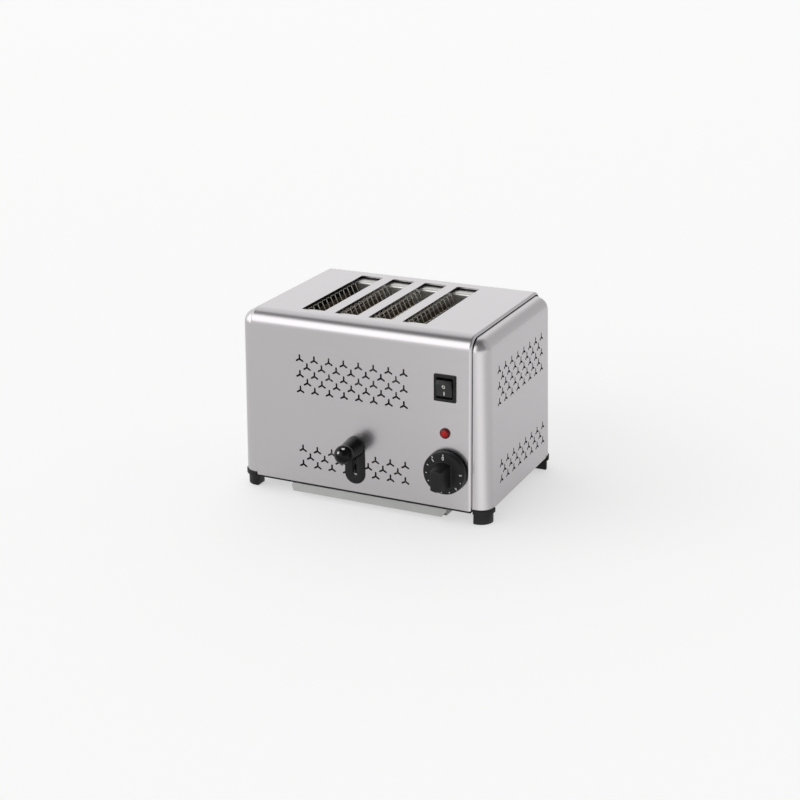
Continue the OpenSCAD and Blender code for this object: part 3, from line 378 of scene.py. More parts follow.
def brushedStainless(name, along):
    # brushed stainless sheet: fine lines one way that stretch and soften what it mirrors.
    # The real grain of about 0.1 mm is too fine to show, so it is drawn 0.8 mm wide.
    look = {"width": 0.8, "length": 90.0, "cloud": 70.0, "colour": "#BBB8BA", "dark": "#B5B2B4"}
    material, tree, place = newMaterial(name)
    scale = [1 / (look["width"] * milli)] * 3
    scale[along] = 1 / (look["length"] * milli)
    stretch = addNode(tree, "ShaderNodeMapping", inputs={"Vector": place, "Scale": scale})
    lines = addNode(tree, "ShaderNodeTexNoise", inputs={
        "Vector": stretch.outputs["Vector"], "Scale": 1.0, "Detail": 3.0, "Roughness": 0.6})
    clouds = addNode(tree, "ShaderNodeTexNoise", inputs={
        "Vector": place, "Scale": 1 / (look["cloud"] * milli), "Detail": 2.0})
    tone = addNode(tree, "ShaderNodeMix", {"data_type": "RGBA"}, {
        0: lines.outputs["Fac"], 6: linear(look["dark"]), 7: linear(look["colour"])})
    both = addNode(tree, "ShaderNodeMath", {"operation": "MULTIPLY_ADD"}, {
        0: clouds.outputs["Fac"], 1: 0.5, 2: lines.outputs["Fac"]})   # clouds count half as much as lines
    rough = addNode(tree, "ShaderNodeMapRange", inputs={
        "Value": both.outputs[0], "From Min": 0.4, "From Max": 1.1, "To Min": 0.23, "To Max": 0.27})
    bump = addNode(tree, "ShaderNodeBump", inputs={
        "Height": lines.outputs["Fac"], "Strength": 0.015, "Distance": 0.00004})
    shade = addNode(tree, "ShaderNodeBsdfPrincipled", inputs={
        "Base Color": tone.outputs[2], "Metallic": 1.0, "Roughness": rough.outputs["Result"],
        "Normal": bump.outputs["Normal"]})
    addNode(tree, "ShaderNodeOutputMaterial", inputs={"Surface": shade.outputs["BSDF"]})
    return material


def cellTones(name, cell, colour, dark, rough, surface):
    # cells of so many mm, each with a tone and a gloss of its own
    material, tree, place = newMaterial(name)
    cells = addNode(tree, "ShaderNodeTexVoronoi", inputs={"Vector": place, "Scale": 1 / (cell * milli)})
    value = addNode(tree, "ShaderNodeSeparateColor", inputs={"Color": cells.outputs["Color"]})
    tone = addNode(tree, "ShaderNodeMix", {"data_type": "RGBA"}, {
        0: value.outputs["Red"], 6: linear(dark), 7: linear(colour)})
    gloss = addNode(tree, "ShaderNodeMapRange", inputs={
        "Value": value.outputs["Green"], "To Min": rough[0], "To Max": rough[1]})
    shade = addNode(tree, "ShaderNodeBsdfPrincipled", inputs={
        "Base Color": tone.outputs[2], "Roughness": gloss.outputs["Result"], **surface})
    addNode(tree, "ShaderNodeOutputMaterial", inputs={"Surface": shade.outputs["BSDF"]})
    return material


def clouded(name, blotch, colour, dark, rough, surface, detail=4.0, grain=None):
    # tone and gloss drift in blotches of so many mm; grain is the width and depth of fine pits, in mm
    material, tree, place = newMaterial(name)
    clouds = addNode(tree, "ShaderNodeTexNoise", inputs={
        "Vector": place, "Scale": 1 / (blotch * milli), "Detail": detail})
    tone = addNode(tree, "ShaderNodeMix", {"data_type": "RGBA"}, {
        0: clouds.outputs["Fac"], 6: linear(dark), 7: linear(colour)})
    gloss = addNode(tree, "ShaderNodeMapRange", inputs={
        "Value": clouds.outputs["Fac"], **noiseRange, "To Min": rough[0], "To Max": rough[1]})
    shade = addNode(tree, "ShaderNodeBsdfPrincipled", inputs={
        "Base Color": tone.outputs[2], "Roughness": gloss.outputs["Result"], **surface})
    if grain:
        pits = addNode(tree, "ShaderNodeTexNoise", inputs={
            "Vector": place, "Scale": 1 / (grain[0] * milli), "Detail": 2.0})
        bump = addNode(tree, "ShaderNodeBump", inputs={
            "Height": pits.outputs["Fac"], "Strength": 0.2, "Distance": grain[1] * milli})
        tree.links.new(bump.outputs["Normal"], shade.inputs["Normal"])
    addNode(tree, "ShaderNodeOutputMaterial", inputs={"Surface": shade.outputs["BSDF"]})
    return material


def mouldedBlack(name, colour, worn, rough, grain, gloss):
    # moulded plastic or satin paint: near black, a fine grain that breaks up the gloss
    return clouded(name, 12.0, worn, colour, rough, {"IOR": 1.54, "Specular IOR Level": gloss},
                   detail=3.0, grain=grain)


def redLens():
    # clear red polycarbonate, with painted light: the colour is painted lighter in the middle of the dome and
    # deep red towards the rim
    look = {"middle": "#B51B1C", "rim": "#54080B", "radius": 6.2, "core": 0.35, "facet": 2.2, "uneven": 0.3}
    material, tree, place = newMaterial("red polycarbonate lens")
    middle = middleOf("lamp_lens")
    away = addNode(tree, "ShaderNodeVectorMath", {"operation": "DISTANCE"}, {
        0: place, 1: (middle.x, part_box("lamp_lens")[0].y, middle.z)})
    grain = addNode(tree, "ShaderNodeTexNoise", inputs={
        "Vector": place, "Scale": 1 / (look["facet"] * milli), "Detail": 2.0})
    share = addNode(tree, "ShaderNodeMapRange", {"interpolation_type": "SMOOTHSTEP"}, {
        "Value": away.outputs["Value"], "From Min": look["core"] * look["radius"] * milli,
        "From Max": look["radius"] * milli})
    uneven = addNode(tree, "ShaderNodeMath", {"operation": "MULTIPLY_ADD"}, {
        0: grain.outputs["Fac"], 1: look["uneven"], 2: share.outputs["Result"]})
    # painted light: lighter red in the middle of the dome, darker towards the rim
    tone = addNode(tree, "ShaderNodeMix", {"data_type": "RGBA"}, {
        0: uneven.outputs[0], 6: linear(look["middle"]), 7: linear(look["rim"])})
    shade = addNode(tree, "ShaderNodeBsdfPrincipled", inputs={
        "Base Color": tone.outputs[2], "Roughness": 0.3, "IOR": 1.58, "Specular IOR Level": 0.18})
    addNode(tree, "ShaderNodeOutputMaterial", inputs={"Surface": shade.outputs["BSDF"]})
    return material


metal = {"Metallic": 1.0}
coverSteel = brushedStainless("brushed stainless cover", 0)
capSteel = brushedStainless("brushed stainless caps", 1)
# zinc-coated sheet: grey, with faint crystal fields
zincSteel = cellTones("zinc coated sheet", 7.0, "#A3A5A6", "#8D9092", (0.34, 0.5), metal)
# pressed mica board: silvery tan flakes under a soft gloss
micaBoard = cellTones("pressed mica board", 4.0, "#6A5D4A", "#4C4233", (0.35, 0.65), {"IOR": 1.58})
# drawn wire and rolled sheet: a plain sheen, clouded by heat and handling
wireSteel = clouded("nickel plated wire", 9.0, "#D0CBC2", "#A8A297", (0.22, 0.36), metal)
screwSteel = clouded("bright zinc screws", 9.0, "#C4C5C6", "#A9ABAD", (0.2, 0.34), metal)
linerSteel = clouded("stainless liner", 25.0, "#D2D1CE", "#C8C7C4", (0.36, 0.44), metal)
shieldSteel = clouded("heat tinted shield", 18.0, "#6C675F", "#55504A", (0.35, 0.5), metal)
traySteel = clouded("satin steel tray", 22.0, "#9C9C9B", "#919190", (0.42, 0.52), metal)
darkRibbon = clouded("oxidised resistance ribbon", 5.0, "#4E473F", "#332E29", (0.4, 0.6), metal)
copperWire = clouded("enamelled copper wire", 3.0, "#B5683C", "#8E4B28", (0.25, 0.4), metal)
rolledBrass = clouded("rolled brass", 6.0, "#C6A15A", "#A88444", (0.28, 0.42), metal)
# glazed steatite: warm white, specks under a thin glaze of even gloss
steatite = clouded("glazed steatite", 1.2, "#E6E1D6", "#CFC9BC", (0.3, 0.3),
                   {"IOR": 1.6, "Coat Weight": 0.5, "Coat Roughness": 0.1})
# white pad print: matt ink, slightly darker where it lay thin
inkWhite = clouded("white pad print", 1.5, "#F2F2F0", "#DADAD8", (0.6, 0.6), {}, detail=2.0)
plasticBlack = mouldedBlack("moulded black ABS", "#0C0C0D", "#111112", (0.42, 0.55), (0.5, 0.02), 0.22)
ballBlack = mouldedBlack("polished phenolic", "#050505", "#080809", (0.1, 0.16), (1.5, 0.002), 0.12)
# the rocker: the same moulded black, painted lighter to stand in for the light that falls on its face
rockerBlackPaintedLit = mouldedBlack("moulded black nylon", "#1B1B1C", "#212122", (0.4, 0.5), (0.5, 0.02), 0.3)
paintBlack = mouldedBlack("black satin paint", "#0E0E0F", "#141415", (0.45, 0.58), (0.8, 0.015), 0.2)
slotFinish = {
    "brushed_stainless": coverSteel, "zinc_steel": zincSteel, "bright_steel": wireSteel,
    "black_paint": paintBlack, "black_plastic": plasticBlack, "black_gloss": ballBlack, "red_lens": redLens(),
    "mica": micaBoard, "resistance_ribbon": darkRibbon, "copper": copperWire, "brass": rolledBrass,
    "ceramic": steatite}
nodeFinish = {"left_end_cap": capSteel, "right_end_cap": capSteel, "front_bulkhead": linerSteel,
              "rear_bulkhead": linerSteel, "heat_shield_left": shieldSteel, "heat_shield_right": shieldSteel,
              "crumb_tray": traySteel}
for part in frame["record"]["subparts"]:
    node = frame["nodes"][part["node"]]
    node.data.materials.clear()
    node.data.materials.append(nodeFinish.get(part["node"], slotFinish[part["material_slot"]]))
print("finishes on", len(frame["nodes"]), "nodes")


# lever ball with its collar

leverBall = {"ball": 11.2, "ballAt": 25.2, "ballSteps": 40, "collarBack": 12.1, "collarFront": 10.4,
             "collarBand": 1.2, "collarLength": 21.2, "collarSink": 2.0, "hole": 2.4, "holeDeep": 3.0,
             "rounds": [0, 0, 0.2, 0.8, 2.0, 0, 0]}


def makeLeverBall():
    s = leverBall
    low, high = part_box("lever_knob")
    centre = ((low.x + high.x) / 2, high.y, (low.z + high.z) / 2)
    inBall = s["ballAt"] - s["collarSink"]
    collar = rounded([(s["holeDeep"], axisGap), (s["holeDeep"], s["hole"]), (0, s["hole"]),
                      (0, s["collarBack"]), (s["collarBand"], s["collarBack"]),
                      (s["collarLength"], s["collarFront"]), (inBall, s["collarFront"])], s["rounds"])
    bm = bmesh.new()
    lathe(bm, collar + [(inBall, axisGap)], centre)
    addPiece(bm, "leverCollar", ballBlack, "carriage", "black_gloss", "lever_knob")
    ball = []
    for k in range(s["ballSteps"] + 1):
        a = math.pi * (1 - k / s["ballSteps"])
        ball.append((s["ballAt"] + s["ball"] * math.cos(a), max(s["ball"] * math.sin(a), axisGap)))
    bm = bmesh.new()
    lathe(bm, ball, centre)
    polished.objects.link(addPiece(bm, "leverBall", ballBlack, "carriage", "black_gloss"))


makeLeverBall()
print("lever ball done")


# plate behind the lever, with its slot

leverPlate = {"width": 25.2, "height": 57.3, "thick": 1.5, "slotWidth": 5.0, "slotHeight": 39.3,
              "slotShift": 1.25, "bevel": 0.4, "bevelMid": 0.3, "steps": 14}


def makeLeverPlate():
    s = leverPlate
    middle = middleOf("lever_plate")
    slotMiddle = middle + Vector((0, 0, s["slotShift"] * milli))
    thick, bevel = s["thick"], s["bevel"]
    mid = bevel * s["bevelMid"]
    edge = [(0, 0), (0, thick - bevel), (mid, thick - mid), (bevel, thick)]   # (into the face, forward)
    rings = [onFront(outline(s["width"] - 2 * inset, s["height"] - 2 * inset, s["width"] / 2 - inset,
                             s["steps"]), middle, forward) for inset, forward in edge]
    rings += [onFront(outline(s["slotWidth"] + 2 * spread, s["slotHeight"] + 2 * spread,
                              s["slotWidth"] / 2 + spread, s["steps"]), slotMiddle, forward)
              for spread, forward in reversed(edge)]
    bm = bmesh.new()
    loft(bm, rings, closed=True)
    addPiece(bm, "leverPlate", plasticBlack, "chassis", "black_plastic", "lever_plate")


makeLeverPlate()
print("lever plate done")


# timer knob: skirt, grip bar and printed dial

timerKnob = {"radius": 25.45, "back": 2.2, "dial": 9.8, "taper": 0.6, "edge": 1.6, "shoulder": 0.8,
             "wall": 3.0, "hollow": 4.0, "bore": 3.06, "boreEnd": 18.0,
             "rounds": [0, 0, 0, 0.5, 0.4, 0.7, 0.9, 0.5, 0], "sides": 96, "gripHeight": 21.5,
             "gripBase": 18.5, "gripFront": 13.0, "gripRound": (15.5, 12.75),
             "gripDrop": 1.75, "gripEdge": 1.4, "gripSteps": 6,
             # (share of the way to the front, spread, height), from the dial and then from the front
             "gripFoot": [(0.0, 1.1, -0.2), (0.0, 1.1, 0.0), (0.02, 0.45, 0.35), (0.05, 0.08, 1.0),
                          (0.1, 0, 2.0)],
             "gripTop": [(0.93, 0, -1.5), (0.97, -0.15, -0.75), (0.99, -0.6, -0.25), (1.0, -1.4, 0.0),
                         (1.0, -4.0, 0.3)]}
dialMarks = {"proud": 0.06, "sunk": 0.1, "bold": 0.08, "tickLong": 2.2, "tickWide": 0.8, "dot": 0.65,
             "dotSides": 16,
             # (sign, degrees against the clock from the top, mm from the middle, size)
             "numerals": [("0", 1, 18.2, 6.0), ("1", 41, 19.0, 6.0), ("2", 148, 20.6, 4.6),
                          ("3", 174.5, 21.3, 4.2), ("4", 225.5, 21.6, 4.6), ("5", 274, 20.8, 4.6)],
             "ticks": [(0.7, 22.1), (36, 22.6), (66.5, 20.7)],
             "dots": [(94, 20.8), (120.5, 21.1), (199.5, 22.3), (249, 22.3)]}


def gripRing(t, spread):
    # the grip's outline between its base (0) and its front (1): flat sides, ends on a cone
    s = timerKnob
    half = (s["gripBase"] * (1 - t) + s["gripFront"] * t) / 2 + spread
    r = s["gripRound"][0] * (1 - t) + s["gripRound"][1] * t + spread
    end = math.asin(half / r)
    steps = s["gripSteps"]
    turns = [end * k / steps for k in range(steps, -steps - 1, -1)]
    arc = [(r * math.sin(a), r * math.cos(a)) for a in turns]
    points = arc + [(-x, -z) for x, z in arc]
    arcEnds = (0, len(arc) - 1, len(arc), 2 * len(arc) - 1)
    corner = [s["gripEdge"] if i in arcEnds else 0 for i in range(len(points))]
    return rounded([(x, z - s["gripDrop"]) for x, z in points], corner, closed=True)


def makeTimerKnob():
    s = timerKnob
    middle = middleOf("timer_knob")
    r, back, dial, rise = s["radius"], s["back"], s["dial"], s["gripHeight"]
    inside, skirt = back + s["hollow"], r - s["wall"]
    profile = rounded([(s["boreEnd"], axisGap), (s["boreEnd"], s["bore"]), (inside, s["bore"]),
                       (inside, skirt), (back, skirt), (back, r), (dial - s["shoulder"], r - s["taper"]),
                       (dial, r - s["edge"]), (dial, axisGap)], s["rounds"])
    bm = bmesh.new()
    lathe(bm, profile, (middle.x, frontFace, middle.z), s["sides"])
    grip = s["gripFoot"] + [(0.5, 0, rise / 2)] + [(t, spread, rise + up) for t, spread, up in s["gripTop"]]
    loft(bm, [onFront(gripRing(t, spread), middle, dial + up) for t, spread, up in grip])
    addPiece(bm, "timerKnob", plasticBlack, "timer_dial", "black_plastic", "timer_knob")


def onDial(turn, across, out):
    # a flat place on the dial, from its angle against the clock from the top
    a = math.radians(turn)
    return across * math.cos(a) - out * math.sin(a), across * math.sin(a) + out * math.cos(a)


def numeralMesh(sign, size):
    writing = bpy.data.curves.new("numeral", "FONT")
    writing.body = sign
    writing.size = size
    writing.align_x = "CENTER"
    writing.align_y = "CENTER"
    writing.offset = dialMarks["bold"]
    writing.extrude = dialMarks["proud"]
    holder = linked("numeral", writing)
    graph = bpy.context.evaluated_depsgraph_get()
    letters = bpy.data.meshes.new_from_object(holder.evaluated_get(graph), depsgraph=graph)
    bpy.data.objects.remove(holder)
    return letters


def makeDialMarks():
    m = dialMarks
    middle = middleOf("timer_knob")
    dial = timerKnob["dial"]
    w, h = m["tickWide"] / 2, m["tickLong"] / 2
    tick = [(-w, -h), (w, -h), (w, h), (-w, h)]
    dot = [(m["dot"] * math.cos(a), m["dot"] * math.sin(a)) for a in fullTurn(m["dotSides"])]
    bm = bmesh.new()
    for shape, places in ((tick, m["ticks"]), (dot, m["dots"])):
        for turn, out in places:
            points = [onDial(turn, x, out + z) for x, z in shape]
            loft(bm, [onFront(points, middle, dial - m["sunk"]), onFront(points, middle, dial + m["proud"])])
    for sign, turn, out, size in m["numerals"]:
        letters = numeralMesh(sign, size)
        for v in letters.vertices:
            x, z = onDial(turn, v.co.x, out + v.co.y)
            v.co = (middle.x + x * milli, frontFace - (dial + v.co.z) * milli, middle.z + z * milli)
        bm.from_mesh(letters)
    addPiece(bm, "dialMarks", inkWhite, "timer_dial", "black_plastic")


makeTimerKnob()
makeDialMarks()
print("timer knob and dial done")


# rocker switch

switchBody = {"bezel": (26.5, 31.4), "bezelRound": 1.2, "thick": 2.0, "slope": 0.9, "slopeEdge": 0.25,
              "pocket": (19.6, 24.2), "pocketRound": 0.9, "pocketDeep": 10.0,
              "pocketEdge": [(0.5, 0.0), (0.12, 0.15), (0, 0.6)],   # (spread, down from the bezel's face)
              "body": (22.0, 28.4), "bodyRound": 1.0, "bodyDeep": 22.0}
rockerSet = {"width": 18.8, "tilt": 10.0, "pivotIn": 4.0,
             "profile": [(-5.0, -10.8), (-8.4, -7.4), (-7.1, 0.0), (-8.4, 7.4), (-5.0, 10.8), (3.4, 7.5),
                         (3.4, -7.5)],
             "rounds": [0.8, 1.2, 14.0, 1.2, 0.8, 0.5, 0.5],
             # (in from an end, share of the profile), which shrinks towards the depth drawnTo
             "ends": [(0, 0.93), (0.2, 0.975), (0.7, 1.0)], "drawnTo": -1.0,
             "pin": 1.5, "pinReach": 1.1, "pinEdge": 0.2, "pinTip": 0.85, "sides": 24}
switchMarks = {"ring": (2.3, 1.4), "ringNarrow": 0.85, "bar": (1.1, 4.2), "barRound": 0.25, "outward": 0.56,
               "proud": 0.06, "sunk": 0.15}
switchMiddle = middleOf("switch_housing")
rockerPivot = Vector((switchMiddle.x, frontFace + rockerSet["pivotIn"] * milli, switchMiddle.z))


def makeSwitchHousing():
    s = switchBody
    thick, slope, slopeEdge = s["thick"], s["slope"], s["slopeEdge"]
    body = outline(*s["body"], s["bodyRound"])
    rings = [onFront(body, switchMiddle, -s["bodyDeep"]), onFront(body, switchMiddle, 0)]
    wide, high = s["bezel"]
    for inset, forward in ((0, 0), (0, thick - slope), (slopeEdge, thick - slopeEdge), (slope, thick)):
        ring = outline(wide - 2 * inset, high - 2 * inset, s["bezelRound"])
        rings.append(onFront(ring, switchMiddle, forward))
    wide, high = s["pocket"]
    for spread, down in s["pocketEdge"] + [(0, thick + s["pocketDeep"])]:
        ring = outline(wide + 2 * spread, high + 2 * spread, s["pocketRound"] + spread)
        rings.append(onFront(ring, switchMiddle, thick - down))
    bm = bmesh.new()
    loft(bm, rings)
    addPiece(bm, "switchHousing", plasticBlack, "chassis", "black_plastic", "switch_housing")


def onRocker(x, y, z):
    # a place on the tilted rocker, from mm about its pivot
    lean = Matrix.Rotation(math.radians(rockerSet["tilt"]), 4, "X")
    return rockerPivot + lean @ (Vector((x, y, z)) * milli)


def makeRocker():
    s = rockerSet
    profile = rounded(s["profile"], s["rounds"], steps=6, closed=True)
    half = s["width"] / 2
    sections = [(inset - half, keep) for inset, keep in s["ends"]]
    sections += [(half - inset, keep) for inset, keep in reversed(s["ends"])]
    bm = bmesh.new()
    loft(bm, [[onRocker(x, y * keep + s["drawnTo"] * (1 - keep), z * keep) for y, z in profile]
              for x, keep in sections])
    tip = half + s["pinReach"]
    shoulder = tip - s["pinEdge"]
    turns = fullTurn(s["sides"])
    pinEnds = ((-tip, s["pinTip"]), (-shoulder, 1), (shoulder, 1), (tip, s["pinTip"]))
    loft(bm, [[onRocker(x, keep * s["pin"] * math.cos(a), keep * s["pin"] * math.sin(a)) for a in turns]
              for x, keep in pinEnds])
    addPiece(bm, "rocker", rockerBlackPaintedLit, "switch_rocker", "black_plastic", "rocker")


def makeSwitchMarks():
    # a ring on the upper half of the rocker's face and a bar on the lower one
    m = switchMarks
    lowerEdge, crease, upperEdge = rockerSet["profile"][1:4]
    sunk, proud = -m["sunk"], m["proud"]
    big, small = [[(r * m["ringNarrow"] * math.cos(a), r * math.sin(a)) for a in fullTurn(rockerSet["sides"])]
                  for r in m["ring"]]
    bar = outline(*m["bar"], m["barRound"], steps=3)
    bm = bmesh.new()
    for edge, upward, sections, closed in (
            (upperEdge, 1, ((big, sunk), (big, proud), (small, proud), (small, sunk)), True),
            (lowerEdge, -1, ((bar, sunk), (bar, proud)), False)):
        outer, inner = Vector(edge), Vector(crease)
        spot = outer * m["outward"] + inner * (1 - m["outward"])
        along = (outer - inner).normalized() * upward
        out = Vector((-along.y, along.x))
        rings = []
        for points, lift in sections:
            flat = [(p[0], spot + along * p[1] + out * lift) for p in points]
            rings.append([onRocker(x, q.x, q.y) for x, q in flat])
        loft(bm, rings, closed)
    addPiece(bm, "switchMarks", inkWhite, "switch_rocker", "black_plastic")


makeSwitchHousing()
makeRocker()
makeSwitchMarks()
print("switch done")


# pilot lamp lens

lampLens = {"radius": 6.2, "taper": 0.1, "rim": 1.6, "rimRound": 0.5, "lip": 0.05, "shoulder": 5.3,
            "dome": 2.0, "domeSteps": 12, "sides": 60}


def makeLens():
    s = lampLens
    middle = middleOf("lamp_lens")
    rim, shoulder = s["rim"], s["shoulder"]
    profile = rounded([(0, axisGap), (0, s["radius"]), (rim, s["radius"] - s["taper"]),
                       (rim + s["lip"], shoulder)], [0, 0, s["rimRound"], 0])
    for k in range(s["domeSteps"] + 1):
        a = math.pi / 2 * k / s["domeSteps"]
        profile.append((rim + s["dome"] * math.sin(a), max(shoulder * math.cos(a), axisGap)))
    bm = bmesh.new()
    lathe(bm, profile, (middle.x, frontFace, middle.z), s["sides"])
    addPiece(bm, "lampLens", slotFinish["red_lens"], "chassis", "red_lens", "lamp_lens")


makeLens()
print("lamp lens done")


# wire guards in the slots: uprights repeated along the slot, tied by straight rails

wireGuards = {"wire": 1.6, "count": 12, "pitch": 10.8, "inner": 9.5, "flare": 6.8, "low": 62.0, "bend": 202.0,
              "top": 216.5, "rails": [(66.0, 65.0), (128.0, 60.2), (190.0, 65.0)],   # (height, half length)
              "weld": 1.2, "flareRail": 0.12, "flareRailDrop": 0.5, "hook": (3.2, 3.5, 0.2), "fillet": 2.0,
              "filletSteps": 5}


def wireAlong(tree, curve, radius):
    ring = addNode(tree, "GeometryNodeCurvePrimitiveCircle", inputs={
        "Resolution": wireSides, "Radius": radius})
    tube = addNode(tree, "GeometryNodeCurveToMesh", inputs={
        "Curve": curve, "Profile Curve": ring.outputs["Curve"], "Fill Caps": True})
    return tube.outputs["Mesh"]


def guardTree():
    tree, given = newTree("wire guards", [("Wire Radius", "Float"), ("Count", "Int"), ("Start", "Vector"),
                                          ("Pitch", "Vector"), ("Fillet", "Float")])
    kind = addNode(tree, "GeometryNodeInputNamedAttribute", {"data_type": "BOOLEAN"}, {"Name": "upright"})
    parts = addNode(tree, "GeometryNodeSeparateGeometry", {"domain": "POINT"}, {
        "Geometry": given["Geometry"], "Selection": kind.outputs["Attribute"]})
    joined = addNode(tree, "GeometryNodeJoinGeometry")
    row = addNode(tree, "GeometryNodeMeshLine", {"mode": "OFFSET"}, {
        "Count": given["Count"], "Start Location": given["Start"], "Offset": given["Pitch"]})
    for name in ("Inverted", "Selection"):   # rails, then uprights
        line = addNode(tree, "GeometryNodeMeshToCurve", inputs={"Mesh": parts.outputs[name]})
        bent = addNode(tree, "GeometryNodeFilletCurve", {"mode": "POLY"}, {
            "Curve": line.outputs["Curve"], "Count": wireGuards["filletSteps"], "Radius": given["Fillet"],
            "Limit Radius": True})
        made = wireAlong(tree, bent.outputs["Curve"], given["Wire Radius"])
        if name == "Selection":
            made = addNode(tree, "GeometryNodeInstanceOnPoints", inputs={
                "Points": row.outputs["Mesh"], "Instance": made}).outputs["Instances"]
        tree.links.new(made, joined.inputs["Geometry"])
    endTree(tree, joined.outputs["Geometry"], wireSteel)
    return tree


def guardLine(bm, middle, points, upright):
    # the middle line of a wire, in mm, with X from the middle of its slot
    mark = bm.verts.layers.bool["upright"]
    verts = [bm.verts.new((middle.x + x * milli, y * milli, z * milli)) for x, y, z in points]
    for v in verts:
        v[mark] = upright
    for a, b in zip(verts, verts[1:]):
        bm.edges.new((a, b))


def guardLines(middle):
    # one upright and all rails of both sides of a guard
    s = wireGuards
    bm = bmesh.new()
    bm.verts.layers.bool.new("upright")
    shift = middle.y / milli
    across, along, rise = s["hook"]
    flareHalf = (s["count"] - 1) / 2 * s["pitch"] + s["wire"]
    flareHeight = s["bend"] + s["flareRail"] * (s["top"] - s["bend"]) - s["flareRailDrop"]
    for side in (-1, 1):
        x = side * s["inner"]
        guardLine(bm, middle, [(x, 0, s["low"]), (x, 0, s["bend"]), (x + side * s["flare"], 0, s["top"]),
                               (x + side * (s["flare"] - across), along, s["top"] + rise)], True)
        welded = x + side * s["weld"]
        flared = x + side * (s["weld"] + s["flareRail"] * s["flare"])
        rails = [(welded, half, z) for z, half in s["rails"]] + [(flared, flareHalf, flareHeight)]
        for at, half, z in rails:
            guardLine(bm, middle, [(at, shift - half, z), (at, shift + half, z)], False)
    mesh = bpy.data.meshes.new("guard")
    bm.to_mesh(mesh)
    bm.free()
    return mesh


def makeGuards():
    s = wireGuards
    tree = guardTree()
    for number in range(1, 5):
        node = "wire_guards_%d" % number
        middle = middleOf(node)
        start = (0, middle.y - (s["count"] - 1) / 2 * s["pitch"] * milli, 0)
        piece = bake("wireGuards%d" % number, guardLines(middle), tree, {
            "Wire Radius": s["wire"] / 2 * milli, "Count": s["count"], "Start": start,
            "Pitch": (0, s["pitch"] * milli, 0), "Fillet": s["fillet"] * milli})
        stand(piece, "chassis", "bright_steel", node)


makeGuards()
print("wire guards done")


# lift springs on the guide rods

liftSprings = {"radius": 4.5, "wire": 1.2, "turns": 7.0, "turnSteps": 28, "travel": 29.5}


def springTree():
    tree, given = newTree("coil springs", [("Coil Radius", "Float"), ("Wire Radius", "Float"),
                                           ("Turns", "Float"), ("Height", "Float")])
    coil = addNode(tree, "GeometryNodeCurveSpiral", inputs={
        "Resolution": liftSprings["turnSteps"], "Rotations": given["Turns"], "Height": given["Height"],
        "Start Radius": given["Coil Radius"], "End Radius": given["Coil Radius"]})
    wire = wireAlong(tree, coil.outputs["Curve"], given["Wire Radius"])
    pair = addNode(tree, "GeometryNodeInstanceOnPoints", inputs={
        "Points": given["Geometry"], "Instance": wire})
    endTree(tree, pair.outputs["Instances"], wireSteel)
    return tree


def makeSprings():
    s = liftSprings
    low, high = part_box("lift_springs")
    w = s["wire"] / 2 * milli
    reach = s["radius"] * milli + w
    y = (low.y + high.y) / 2
    mesh = bpy.data.meshes.new("springs")
    mesh.from_pydata([(low.x + reach, y, low.z + w), (high.x - reach, y, low.z + w)], [], [])
    piece = bake("liftSprings", mesh, springTree(), {
        "Coil Radius": s["radius"] * milli, "Wire Radius": w, "Turns": s["turns"],
        "Height": high.z - low.z - 2 * w})
    stand(piece, "chassis", "bright_steel", "lift_springs")
    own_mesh(piece)


makeSprings()
print("springs done")


# screws: pan heads with a cross recess

sheetScrew = {"head": 3.0, "high": 1.8, "shank": 1.5}
footScrew = {"head": 3.8, "high": 2.5, "shank": 1.9}
# turn stands a screw on its axis, and end says on which side of that axis its head lies
screwSet = {"rear_screws": {**sheetScrew, "turn": (-math.pi / 2, 0, 0), "axis": 1, "end": 1},
            "base_screws": {**sheetScrew, "turn": (math.pi, 0, 0), "axis": 2, "end": -1},
            "foot_screws": {**footScrew, "turn": (math.pi, 0, 0), "axis": 2, "end": -1},
            "timer_screws": {**sheetScrew, "turn": (math.pi / 2, 0, 0), "axis": 1, "end": -1}}
screwShape = {"tip": 0.7, "arm": 0.16, "armTip": 0.56,   # shares of the shank's or the head's radius
              "tipLong": 0.5, "rim": 0.1, "sharp": 30,
              # shares of the head's radius and height, then of the cross and the head's height
              "crown": [(1.0, 0.45), (0.93, 0.75), (0.78, 0.95), (0.66, 1.0)], "floor": (0.8, 0.45)}


def screwMesh(head, high, shank, length):
    # one screw standing on Z with the underside of its head at 0
    s = screwShape
    arm, tip = s["arm"] * head, s["armTip"] * head
    corners = [(tip, -arm), (tip, arm), (arm, arm)]
    for k in range(9):   # three more quarters
        x, y = corners[k]
        corners.append((-y, x))
    cross = []
    for p, q in zip(corners, corners[1:] + corners[:1]):
        cross += [p, ((p[0] + q[0]) / 2, (p[1] + q[1]) / 2)]
    angles = [math.atan2(y, x) for x, y in cross]
    profile = [(shank * s["tip"], -length), (shank, s["tipLong"] - length), (shank, 0), (head - s["rim"], 0),
               (head, s["rim"])] + [(head * wide, high * up) for wide, up in s["crown"]]
    rings = [[(r * milli * math.cos(a), r * milli * math.sin(a), z * milli) for a in angles]
             for r, z in profile]
    rings += [[(x * keep * milli, y * keep * milli, high * up * milli) for x, y in cross]
              for keep, up in ((1, 1), s["floor"])]
    bm = bmesh.new()
    loft(bm, rings)
    return meshFrom(bm, "screw", screwSteel, s["sharp"])


def screwSpots(node):
    # the middles of a node's separate solids: across, and along the other axis that isn't the screw's own
    bm = bmesh.new()
    bm.from_mesh(frame["nodes"][node].data)
    bmesh.ops.remove_doubles(bm, verts=bm.verts, dist=1e-6)
    other = 3 - screwSet[node]["axis"]
    left, found = set(bm.verts), []
    while left:
        group, todo = [], [left.pop()]
        while todo:
            v = todo.pop()
            group.append(v.co.copy())
            for e in v.link_edges:
                w = e.other_vert(v)
                if w in left:
                    left.remove(w)
                    todo.append(w)
        found.append(tuple((min(c[k] for c in group) + max(c[k] for c in group)) / 2 for k in (0, other)))
    bm.free()
    return sorted(found)


